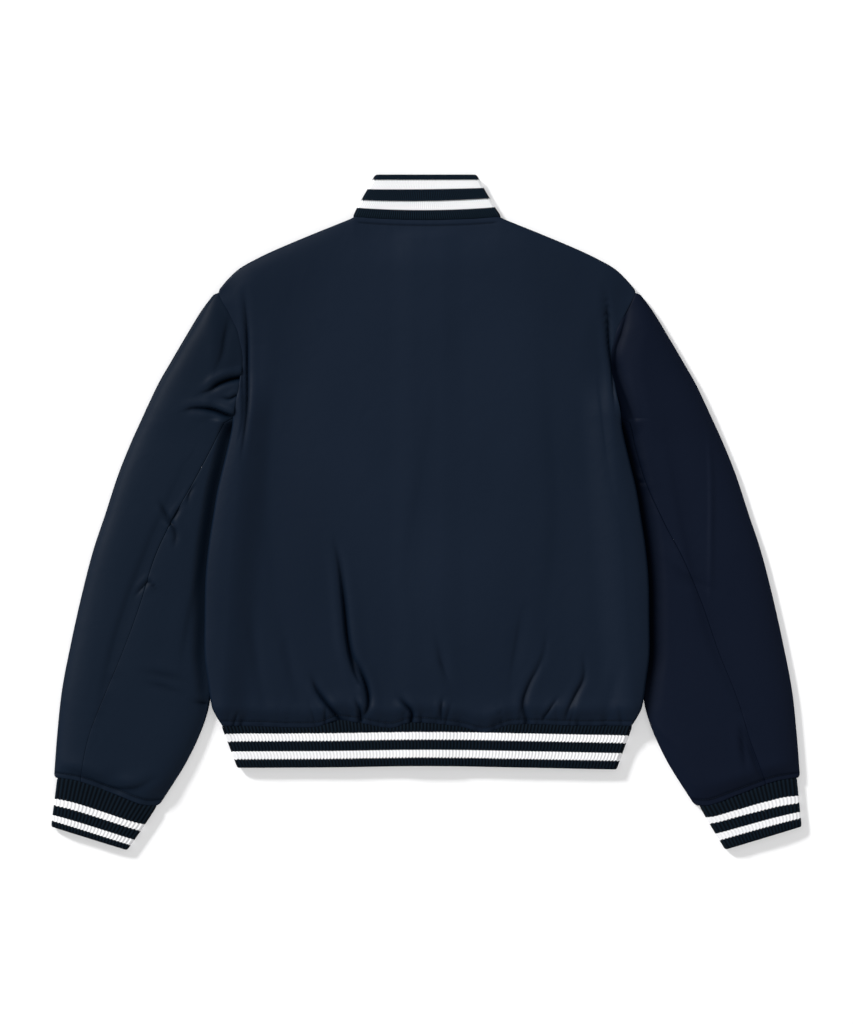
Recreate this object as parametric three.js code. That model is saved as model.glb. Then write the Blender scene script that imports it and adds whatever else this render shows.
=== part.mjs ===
// A varsity jacket laid flat on its fronts, back upward, in millimetres with +Z up.
// The collar points along +Y and the wearer's left is -X. The origin is on the surface that the
// jacket rests on, in the middle of its outline. Every cloth piece is a closed wall of even
// thickness round a middle surface, and neighbours stop a seam gap apart.
import * as THREE from 'three';
import { mergeVertices } from 'three/addons/utils/BufferGeometryUtils.js';

// Cloth and how it stacks
const WALL = 2.5; // shell, thin wadding and lining sewn as one, and the doubled rib knit
const SEAM_GAP = 0.3;
const CURVED_GAP = 0.8; // where two curved edges meet facet to facet
const BODY_DEPTH = 8.5; // back and fronts together, with the air between them
const SLEEVE_DEPTH = 6.6;
const FOLD_STOP = 0.26; // radians short of the side seam's line, half-way round a folded edge

// Body: half width up the side and round the armhole
const SIDE = [
  { y: -267, half: 256 }, { y: -254, half: 264 }, { y: -243, half: 269 }, { y: -210, half: 274 },
  { y: -179, half: 278 }, { y: -135, half: 278 }, { y: -84, half: 277 }, { y: -42, half: 273 },
  { y: -3, half: 267 }, { y: 27, half: 262 }, { y: 69, half: 252 }, { y: 102, half: 244.5 },
  { y: 129, half: 241 }, { y: 147, half: 237 }, { y: 175, half: 232.5 }, { y: 192, half: 231.5 },
  { y: 212, half: 234 }, { y: 232, half: 241 }, { y: 252, half: 251 }, { y: 275, half: 261 },
];
const SHOULDER = [
  { x: 97, y: 366 }, { x: 144, y: 347 }, { x: 189, y: 328 }, { x: 213, y: 316.5 },
  { x: 230, y: 305 }, { x: 244, y: 293 }, { x: 261, y: 275 },
];
const SHOULDER_POINT = { x: 261, y: 275 };
const UNDERARM_Y = 115;
const NECK_HALF = 97;
const BACK_NECK = { y: 364.8, rise: 4.5, power: 2, half: 97 };
const FRONT_NECK = { y: 285, rise: 81, power: 2.4, half: 90 };
const HEM_Y = -267;
// The back's hem seam waves where the cloth is gathered on to the rib
const HEM_WAVE = [
  { x: -256, y: -267 }, { x: -210, y: -268 }, { x: -165, y: -269.5 }, { x: -137, y: -268.5 },
  { x: -111, y: -260.5 }, { x: -84, y: -263.5 }, { x: -45, y: -270 }, { x: -23, y: -263.5 },
  { x: 4, y: -264 }, { x: 45, y: -269 }, { x: 72, y: -275.5 }, { x: 106, y: -266 },
  { x: 183, y: -267 }, { x: 256, y: -267 },
];
// The back's deepest creases, each a soft trough from one end to the other
const CREASES = [
  { name: 'long', x1: -113, y1: -47, x2: -89, y2: -212, depth: 2.2, width: 13 },
  { name: 'lower long', x1: -92, y1: -181, x2: -76, y2: -244, depth: 1.6, width: 10 },
  { name: 'left gather', x1: -140, y1: -206, x2: -110, y2: -258, depth: 1.6, width: 11 },
  { name: 'middle gather', x1: -36, y1: -228, x2: -29, y2: -262, depth: 1.4, width: 8 },
  { name: 'right gather', x1: 122, y1: -200, x2: 125, y2: -262, depth: 1.5, width: 12 },
  { name: 'right slant', x1: 196, y1: -186, x2: 172, y2: -256, depth: 1.8, width: 12 },
  { name: 'left armhole', x1: -226, y1: 268, x2: -228, y2: 96, depth: 1.8, width: 12 },
  { name: 'right armhole', x1: 223, y1: 268, x2: 236, y2: 120, depth: 1.8, width: 12 },
];

// Centre front
const LAP = 28; // how far one front edge passes over the other
const SNAP = { radius: 7.5, height: 1.4, rim: 0.9, bevel: 0.5, facets: 16 };
const SNAP_Y = [262, 170, 78, -14, -106, -198, -293];
const OUTER_LIFT = SNAP.height + SEAM_GAP; // the left edge rests on the snap caps
const INNER_LIFT = OUTER_LIFT + WALL + SEAM_GAP; // and the right edge rests on the left one
const BACK_LIFT = 1.5;
const LAP_FLAT = 16; // half the width that stays lifted
const LAP_RAMP = 32;

// Sleeve rows across the sleeve, from the shoulder point down to the cuff seam. The inner end lies
// on the armhole down to the underarm, and on the folded inner edge below it. `left` and `right`
// say where the back seam crosses the row, from the inner end (0) to the outer (1), and `under`
// does so for the hidden front seam.
const SLEEVE = [
  { inX: 258.6, inY: 268.6, outX: 264.5, outY: 272.5, left: 0, right: 0, under: 0 },
  { inX: 250.1, inY: 250, outX: 283, outY: 247, left: 0, right: 0, under: 0 },
  { inX: 238.7, inY: 226, outX: 303, outY: 216, left: 0, right: 0, under: 0 },
  { inX: 231.7, inY: 198, outX: 320, outY: 187, left: 0, right: 0, under: 0 },
  { inX: 233.7, inY: 168, outX: 335, outY: 161, left: 0, right: 0, under: 0 },
  { inX: 240.1, inY: 134, outX: 349, outY: 132, left: 0, right: 0, under: 0 },
  { inX: 243.5, inY: 117, outX: 355, outY: 119, left: 0, right: 0, under: 0 },
  { inX: 245, inY: 111.5, outX: 357.5, outY: 113.5, left: 0.08, right: 0.08, under: 0.08 },
  { inX: 247, inY: 78, outX: 370, outY: 86, left: 0.18, right: 0.11, under: 0.2 },
  { inX: 250, inY: 35, outX: 386, outY: 46, left: 0.31, right: 0.18, under: 0.3 },
  { inX: 253.5, inY: -15, outX: 402, outY: -3, left: 0.43, right: 0.27, under: 0.32 },
  { inX: 257.5, inY: -65, outX: 417, outY: -48, left: 0.515, right: 0.385, under: 0.34 },
  { inX: 261.5, inY: -125, outX: 431, outY: -102, left: 0.565, right: 0.48, under: 0.34 },
  { inX: 266, inY: -190, outX: 444, outY: -160, left: 0.635, right: 0.55, under: 0.34 },
  { inX: 274, inY: -250, outX: 456, outY: -222, left: 0.715, right: 0.625, under: 0.34 },
  { inX: 297, inY: -306, outX: 462, outY: -278, left: 0.775, right: 0.655, under: 0.34 },
  { inX: 334, inY: -366, outX: 466, outY: -331, left: 0.77, right: 0.69, under: 0.34 },
].map((line, row) => ({ row, ...line }));
const ARMHOLE_ROWS = 6; // the last row that ends on the armhole
const UNDERARM_ROW = 7; // the first row of the inner panel
const LAST_ROW = SLEEVE.length - 1;
const CUFF_SEAM_START = LAST_ROW - 1.5;
const THIN = { from: ARMHOLE_ROWS - 1, to: UNDERARM_ROW + 1 }; // rows where the tube gets thinner
const SETTLE = 30; // how far from the armhole the sleeve comes down to the resting plane
// How far the cuff seam runs past a straight line, towards the hand
const CUFF_SEAM = [
  { share: 0, bow: 0 }, { share: 0.14, bow: 5 }, { share: 0.4, bow: 1.5 },
  { share: 0.77, bow: -3 }, { share: 1, bow: 0 },
];
const CUFF_INSET = 3.2; // the cuff is narrower than the sleeve end at each edge
const CUFF_END = { outX: 469, outY: -393, inX: 375, inY: -422.2 };

// The body's side strip lies on the sleeve's inner edge
const SIDE_LIFT = SLEEVE_DEPTH + 1.2;
const SIDE_RAMP = { from: 52, to: 12 }; // inward of the sleeve's inner edge
const SIDE_LIFT_TOP = { none: 182, full: 122 };
const SIDE_LIFT_END = { full: -236, none: -322 };

// Rib collar and hem band, a row for each change across their width
const COLLAR = [
  { row: 0, half: 91, y: 369.9, backY: 365.4, frontY: 286 },
  { row: 0.8, half: 67, y: 411, backY: 410.8, frontY: 328 },
  { row: 0.93, half: 63.5, y: 418.5, backY: 418.4, frontY: 335.5 },
  { row: 1, half: 60, y: 422.3, backY: 422.3, frontY: 340 },
];
const COLLAR_END = 1.5; // the collar's ends stop this far from the centre front
const HEM_BAND = { topHalf: 256, endHalf: 236, endY: -319.4 };

const NYLON = { color: 0x1b2534, roughness: 0.5, metalness: 0 };
const RIB = { color: 0x0d1621, roughness: 0.9, metalness: 0 };
const METAL = { color: 0x2b2f36, roughness: 0.35, metalness: 0.9 };

const clamp = THREE.MathUtils.clamp;
const lerp = THREE.MathUtils.lerp;
const smooth = (x, from, to) => {
  const t = clamp((x - from) / (to - from), 0, 1);
  return t * t * (3 - 2 * t);
};

// The value of one column of a table where another column is `at`, on a smooth curve
function read(table, from, to, at) {
  const last = table.length - 1;
  const x = clamp(at, table[0][from], table[last][from]);
  let i = 0;
  while (i < last - 1 && x > table[i + 1][from]) i += 1;
  const slope = (k) => {
    const a = table[Math.max(k - 1, 0)];
    const b = table[Math.min(k + 1, last)];
    return (b[to] - a[to]) / (b[from] - a[from]);
  };
  const [a, b] = [table[i], table[i + 1]];
  const span = b[from] - a[from];
  const t = (x - a[from]) / span;
  const [t2, t3] = [t * t, t * t * t];
  return a[to] * (2 * t3 - 3 * t2 + 1) + b[to] * (3 * t2 - 2 * t3)
    + span * (slope(i) * (t3 - 2 * t2 + t) + slope(i + 1) * (t3 - t2));
}

// Even steps along a chain of runs, such as [[0, 1, 4], [1, 2, 3]]
function steps(runs) {
  const list = [runs[0][0]];
  for (const [from, to, count] of runs) {
    for (let k = 1; k <= count; k += 1) list.push(lerp(from, to, k / count));
  }
  return list;
}

// A closed wall of cloth round a grid of middle points, grid[row][column]
function wall(grid, closed = false) {
  const [rows, columns] = [grid.length, grid[0].length];
  const at = (j, i) => grid[clamp(j, 0, rows - 1)][
    closed ? (i + columns) % columns : clamp(i, 0, columns - 1)];
  const points = [];
  for (const side of [1, -1]) {
    for (let j = 0; j < rows; j += 1) {
      for (let i = 0; i < columns; i += 1) {
        const along = at(j, i + 1).clone().sub(at(j, i - 1));
        const up = at(j + 1, i).clone().sub(at(j - 1, i));
        const normal = along.cross(up).normalize();
        points.push(grid[j][i].clone().addScaledVector(normal, side * WALL / 2));
      }
    }
  }
  const index = (layer, j, i) => (layer * rows + j) * columns + (i % columns);
  const faces = [];
  const quad = (a, b, c, d) => faces.push(a, b, c, a, c, d);
  const across = closed ? columns : columns - 1;
  for (let j = 0; j < rows - 1; j += 1) {
    for (let i = 0; i < across; i += 1) {
      quad(index(0, j, i), index(0, j, i + 1), index(0, j + 1, i + 1), index(0, j + 1, i));
      quad(index(1, j, i), index(1, j + 1, i), index(1, j + 1, i + 1), index(1, j, i + 1));
    }
    if (!closed) {
      const end = columns - 1;
      quad(index(0, j, 0), index(0, j + 1, 0), index(1, j + 1, 0), index(1, j, 0));
      quad(index(0, j, end), index(1, j, end), index(1, j + 1, end), index(0, j + 1, end));
    }
  }
  for (let i = 0; i < across; i += 1) {
    const end = rows - 1;
    quad(index(0, 0, i), index(1, 0, i), index(1, 0, i + 1), index(0, 0, i + 1));
    quad(index(0, end, i), index(0, end, i + 1), index(1, end, i + 1), index(1, end, i));
  }
  let volume = 0;
  for (let k = 0; k < faces.length; k += 3) {
    const [a, b, c] = [points[faces[k]], points[faces[k + 1]], points[faces[k + 2]]];
    volume += a.dot(b.clone().cross(c));
  }
  if (volume < 0) faces.reverse();
  const geometry = new THREE.BufferGeometry();
  const flat = points.flatMap((p) => [p.x, p.y, p.z]);
  geometry.setAttribute('position', new THREE.Float32BufferAttribute(flat, 3));
  geometry.setIndex(faces);
  return geometry;
}

// Outline functions
const halfWidth = (y) => read(SIDE, 'y', 'half', y);
const shoulderY = (x) => read(SHOULDER, 'x', 'y', Math.abs(x));
const neckY = (neck, x) => neck.y + neck.rise
  * Math.min(Math.abs(x) / neck.half, 1) ** neck.power;
const topY = (neck, x) => (Math.abs(x) < NECK_HALF ? neckY(neck, x) : shoulderY(x));
const sleeveInnerEdge = SLEEVE.slice(ARMHOLE_ROWS).reverse();
const sleeveInnerX = (y) => read(sleeveInnerEdge, 'inY', 'inX', y);

// How far the body's cloth is raised where it lies on the sleeve's inner edge
function sideLift(x, y) {
  const edge = sleeveInnerX(y);
  const across = smooth(Math.abs(x), edge - SIDE_RAMP.from, edge - SIDE_RAMP.to);
  const top = 1 - smooth(y, SIDE_LIFT_TOP.full, SIDE_LIFT_TOP.none);
  const end = smooth(y, SIDE_LIFT_END.none, SIDE_LIFT_END.full);
  return SIDE_LIFT * across * top * end;
}
const lapLift = (x, lift) => lift * (1 - smooth(Math.abs(x), LAP_FLAT, LAP_FLAT + LAP_RAMP));

function creaseDepth(x, y) {
  let depth = 0;
  for (const { x1, y1, x2, y2, depth: deep, width } of CREASES) {
    const [dx, dy] = [x2 - x1, y2 - y1];
    const length = Math.hypot(dx, dy);
    const share = ((x - x1) * dx + (y - y1) * dy) / length ** 2;
    const away = Math.abs((x - x1) * dy - (y - y1) * dx) / length;
    const ends = smooth(share, -0.1, 0.25) * (1 - smooth(share, 0.8, 1.15));
    depth = Math.max(depth, deep * ends * Math.exp(-((away / width) ** 2)));
  }
  return depth;
}

// A middle point of the body's cloth. `share` runs from the centre or lap edge (0) to the folded
// edge (1) and on round a quarter turn (2), and `up` does so from the hem to the shoulder.
function bodyPoint({ neck, centre, side, share, up, level, hemY, lift }) {
  const inset = BODY_DEPTH / 2;
  const radius = inset - WALL / 2;
  const edgeAt = (y) => side * (halfWidth(Math.min(y, SHOULDER_POINT.y)) - inset);
  const flatShare = Math.min(share, 1);
  const xAt = (y) => centre + (edgeAt(y) - centre) * flatShare;
  const hem = hemY(xAt(HEM_Y)) + SEAM_GAP / 2;
  const topX = xAt(SHOULDER_POINT.y) + side * inset * smooth(flatShare, 0.5, 1);
  let y = lerp(hem, topY(neck, topX) - inset, Math.min(up, 1));
  let x = xAt(y);
  const quarter = Math.PI / 2 - FOLD_STOP;
  const toSeam = inset - SEAM_GAP / 2;
  const sideTurn = Math.max(share - 1, 0);
  const sideFolded = 1 - smooth(y, UNDERARM_Y - 6, UNDERARM_Y + 6);
  x += side * lerp(toSeam * sideTurn, radius * Math.sin(sideTurn * quarter), sideFolded);
  const topTurn = Math.max(up - 1, 0);
  const topFolded = smooth(Math.abs(topX), NECK_HALF - 3, NECK_HALF + 3);
  y += lerp(toSeam * topTurn, radius * Math.sin(topTurn * quarter), topFolded);
  const drop = radius * Math.max(sideFolded * (1 - Math.cos(sideTurn * quarter)),
    topFolded * (1 - Math.cos(topTurn * quarter)));
  const inside = smooth(topY(neck, topX) - y, 8, 24);
  const z = inset + level * (radius - drop) + sideLift(x, y) + lift(x, y) * inside;
  return new THREE.Vector3(x, y, z);
}

// Rows up the body, with one at the end of each sleeve row on the armhole
const bodyTop = SHOULDER_POINT.y - BODY_DEPTH / 2;
const armholeUps = SLEEVE.slice(0, ARMHOLE_ROWS + 1).reverse()
  .map(({ inY }) => (inY - HEM_Y) / (bodyTop - HEM_Y));
const bodyUps = [...steps([[0, armholeUps[0], 11]]), ...armholeUps.slice(1),
  ...steps([[1, 2, 2]])];
const acrossBack = [[-1, -0.39, 7], [-0.39, -0.35, 1], [-0.35, 0.35, 9], [0.35, 0.39, 1],
  [0.39, 1, 7]];

function back() {
  const shares = steps([[-2, -1, 2], ...acrossBack, [1, 2, 2]]);
  const hemY = (x) => read(HEM_WAVE, 'x', 'y', x);
  const lift = (x, y) => lapLift(x, BACK_LIFT) - creaseDepth(x, y);
  return wall(bodyUps.map((up) => shares.map((share) => bodyPoint({
    neck: BACK_NECK, centre: 0, side: Math.sign(share) || 1, share: Math.abs(share), up,
    level: 1, hemY, lift,
  }))));
}

function front(side, lapRise) {
  const shares = steps([[0, 0.11, 2], [0.11, 0.372, 3], [0.372, 0.42, 1], [0.42, 1, 5],
    [1, 2, 2]]);
  return wall(bodyUps.map((up) => shares.map((share) => {
    const point = bodyPoint({
      neck: FRONT_NECK, centre: -side * LAP / 2, side, share, up, level: -1,
      hemY: () => HEM_Y, lift: () => 0,
    });
    point.z += lapLift(point.x, lapRise);
    return point;
  })));
}

// A station round a flattened tube. `turn` runs 0 to 1 over the upper layer from the inner edge
// to the outer, 1 to 2 round the outer fold, 2 to 3 back under and 3 to 4 round the inner fold.
function station(turn) {
  const t = ((turn % 4) + 4) % 4;
  if (t <= 1) return { share: t, out: 0, level: 1 };
  if (t < 2) return { share: 1, out: Math.sin((t - 1) * Math.PI), level: Math.cos((t - 1) * Math.PI) };
  if (t <= 3) return { share: 3 - t, out: 0, level: -1 };
  return { share: 0, out: -Math.sin((t - 3) * Math.PI), level: -Math.cos((t - 3) * Math.PI) };
}

// A middle point of a flattened tube whose row runs from `inner` to `outer`
function tubePoint({ inner, outer, depth, turn }) {
  const { share, out, level } = station(turn);
  const across = outer.clone().sub(inner).normalize();
  const start = inner.clone().addScaledVector(across, depth / 2);
  const end = outer.clone().addScaledVector(across, -depth / 2);
  const radius = (depth - WALL) / 2;
  const point = start.lerp(end, share).addScaledVector(across, out * radius);
  point.z = depth / 2 + level * radius;
  return { point, share };
}

function sleeveRow(side, row) {
  const edge = (name) => read(SLEEVE, 'row', name, row);
  const inner = new THREE.Vector3(side * edge('inX'), edge('inY'), 0);
  const outer = new THREE.Vector3(side * edge('outX'), edge('outY'), 0);
  const hand = new THREE.Vector3(outer.y - inner.y, inner.x - outer.x, 0).normalize();
  return { inner, outer, hand: hand.multiplyScalar(side) };
}

// How far the cuff seam bows at a point near the sleeve's end
function cuffBow(side, point) {
  const { inner, outer } = sleeveRow(side, LAST_ROW);
  const chord = outer.clone().sub(inner);
  const share = point.clone().sub(inner).dot(chord) / chord.lengthSq();
  return read(CUFF_SEAM, 'share', 'bow', share);
}

const sleeveDepth = (row) => lerp(BODY_DEPTH, SLEEVE_DEPTH, smooth(row, THIN.from, THIN.to));

function sleevePoint(side, row, turn) {
  const { inner, outer, hand } = sleeveRow(side, row);
  const depth = sleeveDepth(row);
  const { point } = tubePoint({ inner, outer, depth, turn });
  if (row <= ARMHOLE_ROWS && turn % 3 < 1) {
    const across = outer.clone().sub(inner).normalize();
    const share = station(turn).share;
    const end = outer.clone().addScaledVector(across, -depth / 2);
    const start = inner.clone().addScaledVector(across, CURVED_GAP);
    point.copy(start.lerp(end, share)).setZ(depth / 2 + station(turn).level * (depth - WALL) / 2);
  }
  point.addScaledVector(hand, cuffBow(side, point) * smooth(row, CUFF_SEAM_START, LAST_ROW));
  const armholeY = Math.max(point.y, UNDERARM_Y);
  const armholeX = halfWidth(armholeY);
  const away = Math.hypot(side * point.x - armholeX, point.y - armholeY);
  point.z += sideLift(armholeX, armholeY) * (1 - smooth(away, 0, SETTLE));
  return point;
}

const seamAt = (name, row) => (row < UNDERARM_ROW ? 0 : read(SLEEVE, 'row', name, row));
const seamHalfGap = (row) => {
  const { inner, outer } = sleeveRow(1, row);
  return row < UNDERARM_ROW ? 0 : SEAM_GAP * 0.7 / inner.distanceTo(outer);
};

function sleevePanel(side, firstRow, runsAt) {
  const rows = SLEEVE.slice(firstRow).map(({ row }) => row);
  return wall(rows.map((row) => steps(runsAt(row)).map((turn) => sleevePoint(side, row, turn))));
}

function sleeveOuter(name, side) {
  return sleevePanel(side, 0, (row) => {
    const gap = seamHalfGap(row);
    return [[seamAt(name, row) + gap, 1, 5], [1, 2, 3], [2, 3 - seamAt('under', row) - gap, 4]];
  });
}

function sleeveInner(name, side) {
  return sleevePanel(side, UNDERARM_ROW, (row) => {
    const gap = seamHalfGap(row);
    return [[3 - seamAt('under', row) + gap, 3, 2], [3, 4, 3], [4, 4 + seamAt(name, row) - gap, 3]];
  });
}

function cuff(side) {
  const turns = steps([[0, 1, 7], [1, 2, 3], [2, 3, 7], [3, 4, 3]]).slice(0, -1);
  const end = sleeveRow(side, LAST_ROW);
  const across = end.outer.clone().sub(end.inner).normalize();
  const top = (point, inset) => point.clone().addScaledVector(across, inset)
    .addScaledVector(end.hand, CURVED_GAP);
  const [innerTop, outerTop] = [top(end.inner, CUFF_INSET), top(end.outer, -CUFF_INSET)];
  const innerEnd = new THREE.Vector3(side * CUFF_END.inX, CUFF_END.inY, 0);
  const outerEnd = new THREE.Vector3(side * CUFF_END.outX, CUFF_END.outY, 0);
  return wall(steps([[0, 1, 3]]).map((row) => turns.map((turn) => {
    const inner = innerTop.clone().lerp(innerEnd, row);
    const outer = outerTop.clone().lerp(outerEnd, row);
    const { point } = tubePoint({ inner, outer, depth: SLEEVE_DEPTH, turn });
    return point.addScaledVector(end.hand, cuffBow(side, point) * (1 - row));
  })), true);
}

function collar() {
  const rows = COLLAR.map(({ row }) => row);
  const turns = steps([[-3, -2.83, 1], [-2.83, -2, 3], [-2, -1, 3], [-1, 1, 10], [1, 2, 3],
    [2, 2.83, 3], [2.83, 3, 1]]);
  const radius = (BODY_DEPTH - WALL) / 2;
  const [seam] = COLLAR;
  const frontShape = (x) => (topY(FRONT_NECK, x) - FRONT_NECK.y) / (seam.y - FRONT_NECK.y);
  return wall(rows.map((row) => turns.map((turn) => {
    const edge = (name) => read(COLLAR, 'row', name, row);
    const side = Math.sign(turn) || 1;
    const { share, out, level } = station(Math.abs(turn));
    const foldInset = BODY_DEPTH / 2;
    const xAt = (half) => lerp(level < 0 ? COLLAR_END : 0, half - foldInset, share);
    const under = (1 - level) / 2;
    const shape = lerp(share ** BACK_NECK.power, frontShape(xAt(seam.half)), under);
    const middle = lerp(edge('backY'), edge('frontY'), under);
    const y = middle + (edge('y') - middle) * shape;
    return new THREE.Vector3(side * (xAt(edge('half')) + radius * out), y,
      BODY_DEPTH / 2 + level * radius);
  })));
}

function hemBand() {
  const turns = steps([[-3, -2, 6], [-2, -1, 3], ...acrossBack, [1, 2, 3], [2, 3, 6]]);
  const radius = (BODY_DEPTH - WALL) / 2;
  return wall(steps([[0, 1, 3]]).map((row) => turns.map((turn) => {
    const side = Math.sign(turn) || 1;
    const { share, out, level } = station(Math.abs(turn));
    const fold = lerp(HEM_BAND.topHalf, HEM_BAND.endHalf, row) - BODY_DEPTH / 2;
    const start = level < 0 && share < 1 ? -LAP / 2 : 0;
    const x = side * (lerp(start, fold, share) + radius * out);
    const seamX = side * share * (HEM_BAND.topHalf - BODY_DEPTH / 2);
    const seamY = level > 0 ? read(HEM_WAVE, 'x', 'y', seamX) : HEM_Y;
    const y = lerp(seamY - SEAM_GAP, HEM_BAND.endY, row);
    const underLift = lapLift(x, side < 0 ? OUTER_LIFT : INNER_LIFT);
    const lift = level > 0 ? lapLift(x, BACK_LIFT) : underLift;
    return new THREE.Vector3(x, y, BODY_DEPTH / 2 + level * radius + sideLift(x, y) + lift);
  })));
}

// A snap's cap, lying on the outer side of the left front edge
function snapCap() {
  const { radius, height, rim, bevel, facets } = SNAP;
  const profile = [[0, 0], [radius - rim, 0], [radius, bevel], [radius, height], [0, height]]
    .map(([r, z]) => new THREE.Vector2(r, z));
  const geometry = new THREE.LatheGeometry(profile, facets);
  geometry.deleteAttribute('normal');
  geometry.deleteAttribute('uv');
  return mergeVertices(geometry, 1e-4).rotateX(Math.PI / 2);
}

const jacket = new THREE.Group();
function add(name, geometry, finish) {
  const mesh = new THREE.Mesh(geometry, new THREE.MeshStandardMaterial(finish));
  mesh.name = name;
  jacket.add(mesh);
  return mesh;
}

add('back', back(), NYLON);
add('front_left', front(-1, OUTER_LIFT), NYLON);
add('front_right', front(1, INNER_LIFT), NYLON);
for (const [name, side] of [['left', -1], ['right', 1]]) {
  add(`sleeve_${name}_outer`, sleeveOuter(name, side), NYLON);
  add(`sleeve_${name}_inner`, sleeveInner(name, side), NYLON);
  add(`cuff_${name}`, cuff(side), RIB);
}
add('collar', collar(), RIB);
add('hem_band', hemBand(), RIB);
SNAP_Y.forEach((y, k) => {
  add(`snap_${k + 1}`, snapCap(), METAL).position.y = y;
});

export default jacket;
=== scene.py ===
import math

import bpy
import numpy as np
from mathutils.bvhtree import BVHTree
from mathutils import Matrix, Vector


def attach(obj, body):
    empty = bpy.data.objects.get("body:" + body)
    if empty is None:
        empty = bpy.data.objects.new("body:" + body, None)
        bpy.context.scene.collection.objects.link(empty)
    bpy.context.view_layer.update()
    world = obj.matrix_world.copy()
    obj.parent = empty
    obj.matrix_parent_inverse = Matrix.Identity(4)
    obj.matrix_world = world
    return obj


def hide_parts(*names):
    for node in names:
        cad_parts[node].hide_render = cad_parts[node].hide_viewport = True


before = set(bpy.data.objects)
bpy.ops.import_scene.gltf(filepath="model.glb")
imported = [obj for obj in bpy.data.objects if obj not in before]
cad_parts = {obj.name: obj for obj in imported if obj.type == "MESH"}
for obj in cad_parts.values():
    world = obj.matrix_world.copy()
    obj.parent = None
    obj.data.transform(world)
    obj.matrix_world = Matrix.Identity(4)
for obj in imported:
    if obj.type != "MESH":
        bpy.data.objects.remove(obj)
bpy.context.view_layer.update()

# ------------------------------------------------------------------ Camera, table and lights
# The jacket lies on its fronts on a white table and is seen from straight above, through a long
# lens. One broad light stands low at the upper left, and a pale room fills the shadows.
CAMERA_HEIGHT = 6.0
VIEW_HEIGHT = 1.28
VIEW_CENTRE_X = -0.0006
SENSOR = 36.0

scene = bpy.context.scene
scene.view_settings.view_transform = "Standard"


def place(name, data):
    thing = bpy.data.objects.new(name, data)
    scene.collection.objects.link(thing)
    return thing


def new_finish(name):
    """A new material, its node tree and its shader."""
    finish = bpy.data.materials.new(name)
    finish.use_nodes = True
    return finish, finish.node_tree, finish.node_tree.nodes["Principled BSDF"]


def fill_in(tree, node, inputs):
    """Sets a node's inputs to values, or links them to sockets."""
    for socket, value in dict(inputs).items():
        if isinstance(value, bpy.types.NodeSocket):
            tree.links.new(value, node.inputs[socket])
        else:
            node.inputs[socket].default_value = value


lens = bpy.data.cameras.new("camera")
lens.sensor_width = SENSOR
lens.lens = SENSOR * CAMERA_HEIGHT / VIEW_HEIGHT
lens.clip_end = 50
camera = place("camera", lens)
camera.location = (VIEW_CENTRE_X, 0, CAMERA_HEIGHT)
scene.camera = camera

TABLE_SIZE = 14.0
TABLE_DROP = 0.0003  # just under the cloth
table_mesh = bpy.data.meshes.new("table")
reach = TABLE_SIZE / 2
table_mesh.from_pydata(
    [(x, y, -TABLE_DROP) for x, y in ((-reach, -reach), (reach, -reach), (reach, reach), (-reach, reach))],
    [], [(0, 1, 2, 3)])
table = place("table", table_mesh)
table_finish, table_tree, table_shader = new_finish("table")
fill_in(table_tree, table_shader, {
    "Base Color": (0.72, 0.72, 0.725, 1), "Roughness": 0.9, "Specular IOR Level": 0.1})
table_mesh.materials.append(table_finish)

LIGHTS = [
    {"name": "key", "from": (-0.62, 0.54, 0.56), "strength": 3.2, "spread": 30, "table": "EXCLUDE"},
    {"name": "fill", "from": (0.5, -0.3, 0.9), "strength": 0.35, "spread": 90, "table": None},
    {"name": "table shadow", "from": (-0.66, 0.66, 0.36), "strength": 4.4, "spread": 7, "table": "INCLUDE"},
    {"name": "table", "from": (0, 0, 1), "strength": 1.6, "spread": 5, "table": "INCLUDE"},
]
for light in LIGHTS:
    sun = bpy.data.lights.new(light["name"], "SUN")
    sun.energy = light["strength"]
    sun.angle = math.radians(light["spread"])
    sun.use_shadow = light["name"] != "table"
    lamp = place(light["name"], sun)
    lamp.rotation_euler = Vector(light["from"]).to_track_quat("Z", "Y").to_euler()
    if light["table"]:  # the table has lights of its own, which give it one even shadow
        lit = bpy.data.collections.new(f"lit by {light['name']}")
        lit.objects.link(table)
        lit.collection_objects[0].light_linking.link_state = light["table"]
        lamp.light_linking.receiver_collection = lit

ROOM_STRENGTH = 0.36
room = bpy.data.worlds.new("room")
room.use_nodes = True
fill_in(room.node_tree, room.node_tree.nodes["Background"],
        {"Color": (1, 1, 1, 1), "Strength": ROOM_STRENGTH})
scene.world = room

# ------------------------------------------------------------------ Back
# The back is one panel of navy nylon satin over thin wadding and lining, about 2.5 mm thick. It is
# sewn to the fronts at the shoulders and sides, to the sleeves at the armholes, and is gathered on
# to the hem band, so that it puffs out above the band in soft uneven folds.
MM = 0.001  # every table of this jacket is in millimetres
WALL = 2.5 * MM
SEAM_GAP = 0.3 * MM
BODY_DEPTH = 8.5 * MM
SLEEVE_DEPTH = 6.6 * MM
FOLD_STOP = 0.26  # radians short of the side seam's line, half-way round a folded edge

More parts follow.
